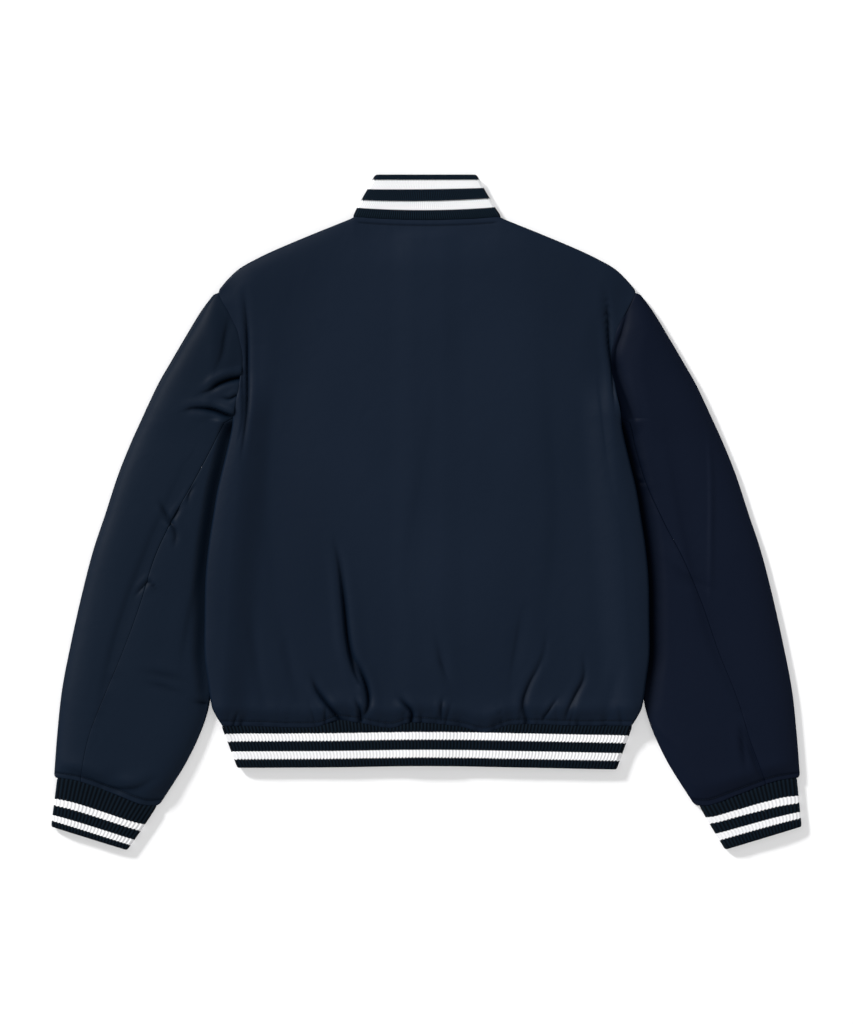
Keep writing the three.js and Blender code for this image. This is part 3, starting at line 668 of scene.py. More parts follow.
# ------------------------------------------------------------------ Fronts
# Two panels of the same thinly padded nylon, which the jacket lies on. The wearer's left front passes
# under the right one here, as it laps over it when worn, and both are sewn to the back's edges.
FRONT_NECK = {"y": 285 * MM, "rise": 83 * MM, "power": 2.4, "half": 90 * MM}
FRONT_GROOVES = {"hem": 3 * MM, "neck": 4 * MM}  # how wide the stitches draw the cloth in
LAP = 28 * MM
SNAP_HEIGHT = 1.4 * MM
OUTER_LIFT = SNAP_HEIGHT + SEAM_GAP  # the left edge rests on the snap caps
INNER_LIFT = OUTER_LIFT + WALL + SEAM_GAP  # and the right edge rests on the left one
FRONTS = [
    {"name": "front_left", "side": -1, "lap_rise": OUTER_LIFT, "folds": {
        "chest": (9, 0, [(-180, 120, 0.2), (-150, 30, 1.3), (-140, -60, 0.3)]),
        "waist": (6, 0, [(-118, -150, 0.2), (-110, -200, 1.6), (-104, -256, 1.0)]),
        "hem": (5, 0, [(-196, -205, 0.2), (-184, -235, 1.5), (-178, -260, 1.1)]),
    }},
    {"name": "front_right", "side": 1, "lap_rise": INNER_LIFT, "folds": {
        "chest": (9, 0, [(170, 140, 0.2), (160, 40, 1.2), (128, -50, 0.3)]),
        "waist": (6, 0, [(96, -165, 0.2), (92, -215, 1.5), (99, -258, 1.0)]),
        "hem": (5, 0, [(205, -190, 0.2), (190, -228, 1.6), (186, -260, 1.1)]),
    }},
]
front_shares = stops((0, 0.01, 4), (0.01, 0.2, 22), (0.2, 1, 58), (1, 2, 6))
front_ups = stops((0, 0.006, 3), (0.006, 0.1, 20), (0.1, 0.96, 104), (0.96, 0.999, 8), (0.999, 1, 1),
                  (1, 2, 6))
for panel in FRONTS:
    side = panel["side"]
    points = body_surface(front_shares[None, :], front_ups[:, None], side, -side * LAP / 2,
                          FRONT_NECK, lambda x: np.full_like(x, HEM_Y), -1)
    x, y = points[..., 0], points[..., 1]
    room_in = smooth(half_width(y) - np.abs(x), 4 * MM, 20 * MM)
    folds, painted_shade = fold_height(x, y, panel["folds"].values())
    groove = bell(y - HEM_Y - TOPSTITCH, FRONT_GROOVES["hem"])
    in_neck = np.abs(x) < NECK_HALF
    groove += bell(top_y(FRONT_NECK, x) - y - TOPSTITCH, FRONT_GROOVES["neck"]) * in_neck
    points[..., 2] += lap_lift(x, panel["lap_rise"]) - folds * room_in + TOPSTITCH_DIP * groove
    front = cloth(f"{panel['name']}_cloth", points, -side, body_nylon, marks={"painted_shade": painted_shade * room_in})
    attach(front, "root")
    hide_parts(panel["name"])
    across_hem = side * np.linspace(15, 246, 60) * MM
    across_neck = side * np.linspace(16, 84, 60) * MM
    stitches = stitch_rows(f"stitches_{panel['name']}", [
        np.column_stack([across_hem, np.full_like(across_hem, HEM_Y + TOPSTITCH)]),
        np.column_stack([across_neck, top_y(FRONT_NECK, across_neck) - TOPSTITCH])],
        front, up=-1, split=1)

# ------------------------------------------------------------------ Sleeves
# Each sleeve is two nylon panels, a broad outer one and a narrower inner one under the arm. They
# are joined by a seam that runs from the underarm to the cuff on each face, the tube is sewn into
# the armhole, and its inner edge lies under the body's side.
ARMHOLE_TUCK = 1.5 * MM  # the sleeve's edge lies just under the body's
CUFF_CORNER = (5.0 * MM, 4.0 * MM)  # how far the cloth is drawn in at each end of the cuff seam
SLEEVE = np.array([
    # way down the arm, inner x, inner y, outer x, outer y in mm, then the share across at which the
    # back seam lies on the left and on the right sleeve, and the front seam on both
    (0, 261, 273.2, 266.4, 271.4, 0, 0, 0), (23, 250.1, 250, 282.5, 250, 0, 0, 0),
    (50, 238.7, 226, 303, 216, 0, 0, 0), (79, 231.7, 198, 320, 187, 0, 0, 0),
    (109, 233.7, 168, 335, 161, 0, 0, 0), (142, 240.1, 134, 349, 132, 0, 0, 0),
    (157, 243.5, 117, 355, 119, 0, 0, 0), (163, 236.5, 111.5, 357.5, 113.5, 0.11, 0.11, 0.11),
    (195, 239.5, 78, 370, 86, 0.21, 0.145, 0.22), (237, 246, 35, 386, 46, 0.31, 0.18, 0.3),
    (288, 253.5, -15, 402, -3, 0.43, 0.27, 0.32), (336, 257.5, -65, 417, -48, 0.515, 0.385, 0.34),
    (394, 261.5, -125, 431, -102, 0.565, 0.48, 0.34), (456, 266, -190, 444, -160, 0.635, 0.55, 0.34),
    (518, 274, -250, 456, -222, 0.715, 0.625, 0.34), (575, 297, -306, 462, -278, 0.775, 0.655, 0.34),
    (636, 334, -366, 466, -331, 0.77, 0.69, 0.34)])
INNER_X, INNER_Y, OUTER_X, OUTER_Y, LEFT_SEAM, RIGHT_SEAM, UNDER_SEAM = range(1, 8)
ARMHOLE_END, UNDERARM, SLEEVE_END = 157, 163, 636  # mm down the arm
SETTLE = 30 * MM  # how far from the armhole the raised cloth comes down to the table
CUFF_SEAM = np.array([(0, 0), (0.14, 5), (0.4, 1.5), (0.77, -3), (1, 0)])  # share across, bow in mm
SLEEVE_PUFF = 8.6 * MM
SLEEVE_SPREAD = 42 * MM  # how far in from the armhole the sleeve is at its fullest
SLEEVE_WAVE = {"height": 1.2 * MM, "across": 60 * MM, "up": 130 * MM}
# Painted shade darkens each sleeve where it runs under the body's edge
VALLEY = {  # beside the body, each sleeve rises from under its edge
    -1: {"width": 17 * MM, "top": 127 * MM, "run": 24 * MM, "shade": 0.55,
         "shade_widths": (9 * MM, 10 * MM), "ends": (-230 * MM, -110 * MM)},
    1: {"width": 24 * MM, "top": 225 * MM, "run": 110 * MM, "shade": 0.95,
        "shade_widths": (6 * MM, 15 * MM), "ends": (-300 * MM, -170 * MM)}}
# Painted shade at the top of each sleeve, fading down the arm
SLEEVE_TOP_PAINTED_SHADE = {-1: 0.2, 1: 0.08}
CUFF_PUFF = 0.3  # the share of the puff that is left at the cuff seam
CUFF_SPREAD = 40 * MM
SLEEVE_BLOUSE = 0.3  # and the extra share just above it
CUFF_STITCH_REACH = 1.8 * MM
CUFF_STITCH_DIP = 1.4 * TOPSTITCH_DIP

SLEEVE_FOLDS = {  # by side, as on the back
    -1: {
        "upper armpit": (4.6, 0.4, [
            (-233, 169, 6.0), (-248, 166, 6.5), (-262, 160, 5.5), (-272, 152, 2.4), (-284, 147, 0.3)]),
        "lower armpit": (4.4, 0.35, [
            (-240, 118, 4.5), (-252, 123, 6.5), (-269, 129, 5.2), (-290, 130, 2.8), (-304, 126, 0.3)]),
        "armpit, between": (3, 0.3, [(-238, 146, 2.4), (-246, 142, 2.6), (-256, 143, 0.4)]),
        "head, upper": (7, 0.3, [(-246, 244, 0.3), (-252, 220, 1.8), (-256, 196, 1.6), (-264, 176, 0.3)]),
        "pucker 1": (3.5, 0.4, [(-334, 12, 0.3), (-326, -3, 2.2), (-318, -15, 1.0)]),
        "pucker 2": (3, 0.4, [(-306, 9, 0.3), (-314, -3, 2.0), (-320, -14, 0.8)]),
        "pucker 3": (3.5, 0.4, [(-330, -7, 0.3), (-318, -18, 2.2), (-314, -30, 1.8), (-316, -42, 0.3)]),
        "pucker 4": (3, 0.3, [(-290, 34, 0.3), (-297, 22, 1.4), (-299, 10, 0.3)]),
        "elbow, right": (3, 0.4, [(-335, -100, 0.3), (-342, -90, 1.8), (-349, -86, 1.0)]),
        "elbow, left": (3, 0.4, [(-347, -86, 1.0), (-355, -93, 1.8), (-364, -103, 0.3)]),
        "forearm": (6, 0.4, [(-298, -209, 0.3), (-326, -203, 1.6), (-352, -198, 0.3)]),
        "forearm, lower": (6, 0.4, [(-304, -226, 0.3), (-328, -217, 1.4), (-352, -211, 0.2)]),
        "beside hem": (3.5, 0.4, [(-268, -238, 2.2), (-279, -237, 2.6), (-292, -234, 0.3)]),
        "cuff arc": (6, 0.4, [
            (-338, -330, 0.3), (-366, -344, 1.6), (-400, -342, 1.6), (-440, -322, 0.3)]),
        "long": (16, 0.3, [(-300, 60, 0.3), (-345, -40, 1.4), (-385, -150, 1.6), (-410, -260, 0.4)]),
        "under panel": (9, 0.3, [(-284, -70, 0.2), (-296, -130, 1.4), (-306, -190, 0.3)]),
    },
    1: {
        "armpit": (3.5, 0.4, [(276, 37, 0.3), (263, 38, 2.4), (250, 39, 2.0)]),
        "armpit, upper": (8, 0.3, [(236, 176, 1.4), (250, 140, 2.2), (262, 104, 1.2), (270, 70, 0.3)]),
        "armpit, slant": (5, 0.3, [(244, 96, 2.0), (252, 70, 2.2), (266, 46, 0.3)]),
        "head": (5, 0.3, [(252, 262, 0.5), (244, 228, 2.0), (236, 204, 2.4), (236, 180, 0.6)]),
        "edge ridge": (4, 0, [(350, 100, -0.2), (353, 40, -1.5), (353, -40, -1.6), (352, -110, -0.2)]),
        "cuff crease": (4, 0.4, [(390, -266, 0.3), (392, -292, 1.9), (396, -320, 0.4)]),
        "cuff crease, outer": (4.5, 0.4, [(396, -272, 0.3), (405, -302, 1.9), (418, -334, 0.8)]),
        "inner ridge": (5, 0, [(279, -256, -0.2), (290, -274, -1.8), (310, -295, -0.2)]),
        "elbow": (9, 0.3, [(362, -96, 0.3), (330, -84, 1.3), (300, -62, 0.3)]),
        "long": (16, 0.3, [(300, 100, 0.3), (322, -20, 1.2), (352, -150, 1.6), (395, -250, 0.4)]),
    },
}


def station(turn):
    """Round a flattened tube: the share across it, how far out round a fold, and up or down."""
    t = np.mod(turn, 4)
    share = np.select([t <= 1, t < 2, t <= 3], [t, 1.0, 3 - t], 0.0)
    angle = np.where(t < 2, t - 1, t - 3) * np.pi
    on_fold = ((t > 1) & (t < 2)) | (t > 3)
    way = np.where(t < 2, 1, -1)
    out = np.where(on_fold, way * np.sin(angle), 0)
    level = np.select([on_fold, t <= 1], [way * np.cos(angle), 1.0], -1.0)
    return share, out, level


def sleeve_row(side, down):
    """Across a sleeve at each place down the arm: its inner and outer edge points, its width, and
    unit steps across it and towards the hand."""
    inner_y = curve(SLEEVE, down, INNER_Y) * MM
    inner_x = np.where(down <= ARMHOLE_END, half_width(inner_y), curve(SLEEVE, down, INNER_X) * MM)
    inner = np.stack([side * inner_x, inner_y], -1)
    outer = np.stack([side * curve(SLEEVE, down, OUTER_X), curve(SLEEVE, down, OUTER_Y)], -1) * MM
    width = np.linalg.norm(outer - inner, axis=-1, keepdims=True)
    across = (outer - inner) / width
    hand = side * np.stack([across[..., 1], -across[..., 0]], -1)
    return inner, outer, width, across, hand


def cuff_bow(side, flat_points):
    """How far the cuff seam runs past a straight line, towards the hand."""
    inner, _, width, across, _ = sleeve_row(side, np.array(float(SLEEVE_END)))
    share = ((flat_points - inner) * across).sum(-1) / width
    return MM * curve(CUFF_SEAM, share)


def past_armhole(down):
    return np.clip((down - ARMHOLE_END) / (UNDERARM - ARMHOLE_END), 0, 1)


def seam_share(down, column):
    return past_armhole(down) * curve(SLEEVE, np.maximum(down, UNDERARM), column)


def sleeve_height(side, x, y, share, width, down):
    """Everything that lifts or dips the sleeve's upper face, and its painted shade."""
    from_inner, from_outer = share * width, (1 - share) * width
    beside = side * x - half_width(y)
    valley = VALLEY[side]
    below_arm = smooth(valley["top"] - y, 0, valley["run"])
    emerging = lerp(1, smooth(beside, 1 * MM, valley["width"]), below_arm)
    on_armhole = 1 - past_armhole(down)
    body_level = PUFF / SLEEVE_PUFF * armhole_level(y)
    on_body = lerp(body_level, 1, smooth(from_inner, 0, SLEEVE_SPREAD))
    inner = lerp(rise(from_inner, ROLL), on_body, on_armhole)
    to_cuff = (SLEEVE_END - down) * MM
    end = lerp(CUFF_PUFF, 1, smooth(to_cuff, 0, CUFF_SPREAD))
    room_here = inner * rise(from_outer, ROLL) * emerging
    blouse = SLEEVE_BLOUSE * bell(to_cuff - BLOUSE["above"], BLOUSE["width"])
    blouse *= 1 + 0.35 * wobble(from_inner, 24 * MM, 41 + side)
    puff = SLEEVE_PUFF * room_here * (end + blouse)
    broad = SLEEVE_WAVE["height"] * uneven(x, y, SLEEVE_WAVE["across"], SLEEVE_WAVE["up"], 44 + side)
    broad = broad * room_here
    folds, painted_shade = fold_height(x, y, SLEEVE_FOLDS[side].values())
    fold_room = smooth(from_outer, 1 * MM, 12 * MM) * lerp(smooth(beside, 0, 8 * MM), 1, 1 - below_arm)
    # Painted shade on the sleeve beside and under the body's edge
    shade_width = lerp(*valley["shade_widths"], below_arm)
    under_body_shade = smooth(y, *valley["ends"]) * smooth(valley["top"] - y, 0, 0.4 * valley["run"])
    under_body_shade *= valley["shade"] * bell(beside, shade_width)
    seam = seam_share(down, LEFT_SEAM if side < 0 else RIGHT_SEAM)
    from_seam = np.abs(share - seam) * width
    pucker = wobble(down, 8, 51 + side) * fade(from_seam, 7 * MM) * smooth(down, UNDERARM, 237)
    pucker *= smooth(wobble(down, 90, 55 + side), -0.6, 0.5)
    cuff_pucker = wobble(from_inner, 7 * MM, 61 + side) * fade(to_cuff, 8 * MM)
    stitched = bell(to_cuff - TOPSTITCH, CUFF_STITCH_REACH)
    puckers = PUCKER * (0.9 * pucker + cuff_pucker) + on_armhole * armhole_pucker(side, y, from_inner)
    height = (puff + broad + folds * fold_room + puckers * rise(from_outer, ROLL)
              - CUFF_STITCH_DIP * stitched)
    # Painted shade at the top of the sleeve
    top = SLEEVE_TOP_PAINTED_SHADE[side] * (1 - smooth(down, 20, 200))
    return height, np.maximum.reduce([painted_shade * fold_room, under_body_shade, top, TOPSTITCH_PAINTED_SHADE * stitched])


def sleeve_surface(side, down, turn):
    """Middle surface of a sleeve and its painted shade: a row for each place down the arm, a turn
    for each place round."""
    inner, outer, width, across, hand = sleeve_row(side, down)
    share, out, level = station(turn)
    depth = lerp(BODY_DEPTH, SLEEVE_DEPTH, smooth(down, 142, 195))
    radius = (depth - WALL) / 2
    folded = past_armhole(down)
    out = np.where(out < 0, out * folded, out)
    bend = np.clip((down - SLEEVE_END) * MM / CUFF_CORNER[0] + 1, 0, 1)
    corner = 1 - np.sqrt(1 - bend**2)
    start = inner + across * (lerp(-ARMHOLE_TUCK, depth / 2, folded) + CUFF_CORNER[0] * corner)[..., None]
    end = outer - across * (depth / 2 + CUFF_CORNER[1] * corner)[..., None]
    flat = start + (end - start) * share[..., None] + across * (out * radius)[..., None]
    flat = flat + hand * (cuff_bow(side, flat) * smooth(down, SLEEVE_END - 90, SLEEVE_END))[..., None]
    x, y = flat[..., 0], flat[..., 1]
    arm_y = np.maximum(y, UNDERARM_Y)
    arm_x = half_width(arm_y)
    raised = 1 - smooth(np.hypot(side * x - arm_x, y - arm_y), 0, SETTLE)
    under_edge = smooth(share * width[..., 0], 2 * MM, 20 * MM)
    tucked = lerp(1, under_edge, smooth(down, 154, 178))  # under the body's edge
    z = depth / 2 + level * radius + side_lift(arm_x, arm_y) * raised * tucked
    upper = (1 + level) / 2
    height, shade = sleeve_height(side, x, y, share, width[..., 0], down)
    groove = bell((SLEEVE_END - down) * MM - TOPSTITCH, CUFF_STITCH_REACH)
    height = lerp(TOPSTITCH_DIP * groove, height, upper)
    return np.stack([x, y, z + height], -1), upper * shade


def panel_turns(rows, runs):
    """A row of turns for each sleeve row. A run is (from, to, count), with values down the rows."""
    parts = [np.broadcast_to(runs[0][0], rows.shape)[:, None]]
    for start, stop, count in runs:
        t = np.arange(1, count + 1) / count
        start, stop = np.broadcast_to(start, rows.shape), np.broadcast_to(stop, rows.shape)
        parts.append(lerp(start[:, None], stop[:, None], t))
    return np.concatenate(parts, axis=1)


arm_runs = (166, 320, 66), (320, 606, 78), (606, 634, 18), (634, 636, 3)
outer_rows = stops((0, 2, 2), (2, 92, 26), (92, 156, 46), (156, 166, 8), *arm_runs)
inner_rows = stops((157.1, 158, 2), (158, 166, 7), *arm_runs)


def seam_edge(down):
    """The long seams show less and less towards the cuff."""
    return lerp(0.6, 0.9, smooth(down, 300, 470) * (1 - smooth(down, 626, 634)))[:, None]


def seam_sink(down):
    below_armhole = lerp(0.32, 0.1, smooth(down, 300, 470) * (1 - smooth(down, 622, 632)))
    return lerp(0.6, below_armhole, past_armhole(down))[:, None] * MM


def cuff_stitches(name, side, panel):
    """The row of stitches above the cuff seam, on both faces of a sleeve's panel."""
    turns = np.linspace(0.05, 0.95, 60)[None, :]
    row, _ = sleeve_surface(side, np.full_like(turns, SLEEVE_END - TOPSTITCH / MM), turns)
    path = row[0, :, :2]
    return [stitch_rows(f"{name}_{face}", [path], panel, up=up, split=SLEEVE_DEPTH / 2)
            for face, up in (("top", 1), ("under", -1))]


def sleeve_panel(sleeve, part, rows, turns):
    side, name = sleeve["side"], f"sleeve_{sleeve['word']}_{part}"
    points, shade = sleeve_surface(side, np.broadcast_to(rows[:, None], turns.shape), turns)
    panel = cloth(f"{name}_cloth", points, -side, sleeve["finish"], marks={"painted_shade": shade},
                  edge=seam_edge(rows), sink=seam_sink(rows))
    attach(panel, "root")
    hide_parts(name)
    cuff_stitches(f"stitches_{sleeve['word']}_{part}", side, panel)


SEAM_ROW = 2.4 * MM  # how far from a long seam the points stand closer together
# Each sleeve's nylon is a darker copy of the body's, with less shine: painted shade, a little on the left
# sleeve and more on the right
SLEEVES = [
    {"side": -1, "word": "left", "seam": LEFT_SEAM, "finish": nylon(
        "navy_nylon_left_sleeve_painted_shade", (0.0038, 0.0096, 0.0212), (0.0052, 0.0116, 0.0240), 0.08)},
    {"side": 1, "word": "right", "seam": RIGHT_SEAM, "finish": nylon(
        "navy_nylon_right_sleeve_painted_shade", (0.0030, 0.0060, 0.0160), (0.0040, 0.0076, 0.0190), 0.06)},
]
for sleeve in SLEEVES:
    width = sleeve_row(1, outer_rows)[2][:, 0]
    gap = 0.3 * SEAM_GAP / np.maximum(width, 40 * MM)
    near = SEAM_ROW / np.maximum(width, 12 * MM)
    first = seam_share(outer_rows, sleeve["seam"]) + gap
    last = 3 - seam_share(outer_rows, UNDER_SEAM) - gap
    turns = panel_turns(outer_rows, [(first, first + near, 4), (first + near, 1, 58), (1, 2, 9),
                                     (2, last - near, 20), (last - near, last, 2)])
    sleeve_panel(sleeve, "outer", outer_rows, turns)

    width = sleeve_row(1, inner_rows)[2][:, 0]
    gap = 0.3 * SEAM_GAP / width
    seam = seam_share(inner_rows, sleeve["seam"])
    near = np.minimum(SEAM_ROW / width, 0.5 * seam)
    first, last = 3 - seam_share(inner_rows, UNDER_SEAM) + gap, 4 + seam - gap
    turns = panel_turns(inner_rows, [(first, 3, 12), (3, 4, 9), (4, last - near, 34),
                                     (last - near, last, 4)])
    sleeve_panel(sleeve, "inner", inner_rows, turns)

# ------------------------------------------------------------------ Rib cuffs
# A tube of doubled rib knit closes each sleeve: navy with two white stripes knitted in. The ribs
# run along the arm, and the white turns to navy at the tips of the ribs, so that edge is toothed.
RIB_HEIGHT = 0.95 * MM
RIB_STEPS = 6  # columns of points to a rib
CUFF_RIB = 4.7 * MM
RIB_TUCK = 0.5 * MM  # a rib's seam edge lies just under the cloth
RIB_SINK = 0.9 * MM  # how far it dips there
RIB_SINK_REACH = 2 * MM
CUFF_ROUND = 2.4 * MM
CUFF_ROLL = 10 * MM
CUFFS = [  # mm, and the edges of the stripes as shares of the way from the seam to the end
    {"side": -1, "word": "left", "insets": (3.0, 4.5),
     "inner_end": (375, -422.2), "inner_stripes": (0.40, 0.545, 0.75, 0.885),
     "outer_end": (469, -393), "outer_stripes": (0.44, 0.577, 0.762, 0.887)},
    {"side": 1, "word": "right", "insets": (6.0, 4.5),
     "inner_end": (373, -421.6), "inner_stripes": (0.25, 0.393, 0.619, 0.779),
     "outer_end": (467.5, -393), "outer_stripes": (0.37, 0.53, 0.70, 0.835)},
]

# Rib knit: which stripe a point is in, how near it is to a rib's crest, and its chain of loops
rib_knit, knit_in, knit_out = shader_group(
    "rib_knit", {"Band": 0.0, "Rib": 0.0, "Loop": 0.0, "Tooth": 0.14}, ["Stripe", "Crest", "Loops"])
phase = maths(rib_knit, "MULTIPLY", knit_in.outputs["Rib"], 2 * math.pi)
wave = maths(rib_knit, "COSINE", phase)
crest = maths(rib_knit, "MULTIPLY", maths(rib_knit, "ADD", wave, 1.0), 0.5)
tooth = maths(rib_knit, "MULTIPLY", knit_in.outputs["Tooth"], crest)
stripes = []
for first_edge, last_edge in ((1.0, 2.0), (3.0, 4.0)):
    start_at = maths(rib_knit, "ADD", maths(rib_knit, "MULTIPLY", tooth, 0.4), first_edge)
    begun = maths(rib_knit, "GREATER_THAN", knit_in.outputs["Band"], start_at)
    limit = maths(rib_knit, "SUBTRACT", last_edge, tooth)
    unfinished = maths(rib_knit, "LESS_THAN", knit_in.outputs["Band"], limit)
    stripes.append(maths(rib_knit, "MULTIPLY", begun, unfinished))
slanted = maths(rib_knit, "ADD", maths(rib_knit, "MULTIPLY", knit_in.outputs["Loop"], 2 * math.pi),
                maths(rib_knit, "MULTIPLY", crest, 2.6))
fill_in(rib_knit, knit_out, {
    "Stripe": maths(rib_knit, "ADD", *stripes), "Crest": crest,
    "Loops": maths(rib_knit, "SINE", slanted)})

# Painted shade in the grooves between ribs and painted light on their crests
SHADED_GROOVE_NAVY, LIT_CREST_NAVY = (0.0008, 0.0018, 0.0036), (0.0036, 0.0092, 0.0165)
SHADED_GROOVE_WHITE, LIT_CREST_WHITE = (0.84, 0.84, 0.86), (0.95, 0.95, 0.96)


def rib_finish(name, tooth_size, pale=1.0):
    """Navy rib knit with its white stripes, with painted shade in the grooves and painted light on the
    crests, and with paler navy crests where asked.
    """
    finish, tree, shader = new_finish(name)
    knit = add_node(tree, "ShaderNodeGroup", node_tree=rib_knit)
    marks = {mark.title(): add_node(tree, "ShaderNodeAttribute", attribute_name=mark).outputs["Fac"]
             for mark in ("band", "rib", "loop")}
    fill_in(tree, knit, {**marks, "Tooth": tooth_size})
    lit_crest_navy = (*(part * pale for part in LIT_CREST_NAVY), 1)
    navy = blend(tree, knit.outputs["Crest"], (*SHADED_GROOVE_NAVY, 1), lit_crest_navy)
    white = blend(tree, knit.outputs["Crest"], (*SHADED_GROOVE_WHITE, 1), (*LIT_CREST_WHITE, 1))
    loops = add_node(tree, "ShaderNodeBump",
                     {"Strength": 0.35, "Distance": 0.0002, "Height": knit.outputs["Loops"]})
    fill_in(tree, shader, {
        "Base Color": blend(tree, knit.outputs["Stripe"], navy, white), "Normal": loops.outputs["Normal"],
        "Roughness": 0.88, "Specular IOR Level": 0.06, "Sheen Weight": 0.015, "Sheen Roughness": 0.5})
    return finish


LOOP = 1.5 * MM  # one row of knitted loops


def rib_ridge(phase_at):
    """Rounded ribs with narrow grooves."""
    return RIB_HEIGHT * ((1 + np.cos(2 * np.pi * phase_at)) / 2) ** 0.7


cuff_knit = rib_finish("rib_knit_cuff", 0.12)
cuff_rows = stops((0, 0.02, 2), (0.02, 0.96, 24), (0.96, 1, 4))
for cuff in CUFFS:
    side, word = cuff["side"], cuff["word"]
    inner, outer, width, across, hand = sleeve_row(side, np.array(float(SLEEVE_END)))
    inner_top = inner + across * cuff["insets"][0] * MM - hand * RIB_TUCK
    outer_top = outer - across * cuff["insets"][1] * MM - hand * RIB_TUCK
    mirror = MM * np.array([side, 1])
    inner_end, outer_end = mirror * cuff["inner_end"], mirror * cuff["outer_end"]
    down = cuff_rows[:, None, None]
    middle_width = np.linalg.norm((inner_top + inner_end - outer_top - outer_end) / 2)
    flat_length, fold_length = middle_width - SLEEVE_DEPTH, math.pi * (SLEEVE_DEPTH - WALL) / 2
    total = 2 * (flat_length + fold_length)
    ribs = round(total / CUFF_RIB)
    place_round = np.arange(ribs * RIB_STEPS) / (ribs * RIB_STEPS)
    corners = np.cumsum([0, flat_length, fold_length, flat_length, fold_length]) / total
    turn = np.interp(place_round, corners, [0, 1, 2, 3, 4])
    share, out, level = station(turn[None, :])
    row_inner = lerp(inner_top, inner_end, down)
    row_outer = lerp(outer_top, outer_end, down)
    line = row_outer - row_inner
    row_width = np.linalg.norm(line, axis=-1, keepdims=True)
    row_across = line / row_width
    inset, radius = SLEEVE_DEPTH / 2, (SLEEVE_DEPTH - WALL) / 2
    start, end = row_inner + row_across * inset, row_outer - row_across * inset
    flat = lerp(start, end, share[..., None]) + row_across * (out * radius)[..., None]
    flat = flat + hand * (cuff_bow(side, flat) * (1 - cuff_rows[:, None]))[..., None]
    from_inner, from_outer = share * row_width[..., 0], (1 - share) * row_width[..., 0]
    round_over = rise(from_inner, CUFF_ROLL) * rise(from_outer, CUFF_ROLL)
    swell = CUFF_ROUND * round_over * (0.9 + 0.25 * wobble(from_inner, 30 * MM, 71 + side))
    z = inset + level * radius + (1 + level) / 2 * swell + (1 - level) / 2 * RIB_HEIGHT
    points = np.concatenate([flat, np.broadcast_to(z, flat.shape[:2])[..., None]], -1)
    stripes_at = [lerp(a, b, share) for a, b in zip(cuff["inner_stripes"], cuff["outer_stripes"])]
    edges = np.concatenate([[0 * share[0]], [s[0] for s in stripes_at], [0 * share[0] + 1]])
    band = np.stack([np.interp(cuff_rows, edges[:, k], range(6)) for k in range(edges.shape[1])], -1)
    phase_at = place_round * ribs
    cuff_marks = {"band": band, "rib": phase_at[None, :],
                  "loop": cuff_rows[:, None] * np.linalg.norm(inner_end - inner_top) / LOOP}
    piece = cloth(f"cuff_{word}_rib", points, -side, cuff_knit, closed=True, sink=RIB_SINK,
                  sink_reach=RIB_SINK_REACH, ridge=rib_ridge(phase_at)[None, :], marks=cuff_marks)
    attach(piece, "root")
    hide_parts(f"cuff_{word}")

# ------------------------------------------------------------------ Rib collar
# A stand collar of the same doubled rib, sewn round the neck. It lies flat in two layers, its front
# halves under the back one, and two white stripes run along it.
COLLAR = MM * np.array([  # row in thousandths, half width, side height, back height, front height
    (0, 93, 368.0, 364.2, 286), (800, 68.6, 410.4, 410.2, 328),
    (930, 65, 417.6, 417.5, 335.5), (1000, 61.5, 421.3, 421.3, 340)])
COLLAR_DEPTH = 57 * MM
COLLAR_LEAN = -1.3 * MM
STRIPE_TILT = 0.022  # the stripes sit a little higher on the right
COLLAR_END = 1.5 * MM
COLLAR_RIB = 2.8 * MM  # finer than the real rib, which is about 4.5 mm
COLLAR_RIB_STEPS = 5
COLLAR_RIB_HEIGHT = 0.6
COLLAR_STRIPES = [0, 0.215, 0.42, 0.665, 0.888, 1]
COLLAR_ROUND = 1.2 * MM
COLLAR_ROLL = 8 * MM


def open_ring(half, pitch, steps):
    """Columns of points along a flattened ring of ribs that is open at the centre front: on which
    side each is, how many ribs along it is, and its station on that side."""
    places = np.cumsum([0, half, fold_length, 2 * half, fold_length, half])
    ribs = round(places[-1] / pitch)
    place_round = np.linspace(0, places[-1], ribs * steps + 1)
    turn = np.interp(place_round, places, [-3, -2, -1, 1, 2, 3])[None, :]
    return np.where(turn < 0, -1, 1), place_round / places[-1] * ribs, *station(np.abs(turn))


collar_rows = stops((0, 0.03, 2), (0.03, 0.9, 22), (0.9, 0.975, 4), (0.975, 1, 4))
seam_half, seam_y = COLLAR[0, 1], COLLAR[0, 2]
seam_flat = seam_half - BODY_DEPTH / 2
radius = (BODY_DEPTH - WALL) / 2
fold_length = math.pi * (BODY_DEPTH - WALL) / 2
side, phase_at, share, out, level = open_ring(seam_flat, COLLAR_RIB, COLLAR_RIB_STEPS)
down = collar_rows[:, None]
half, side_y, back_y, front_y = (curve(COLLAR, down, column) for column in (1, 2, 3, 4))


def collar_across(half_here):
    return lerp(np.where(level < 0, COLLAR_END, 0), half_here - BODY_DEPTH / 2, share)


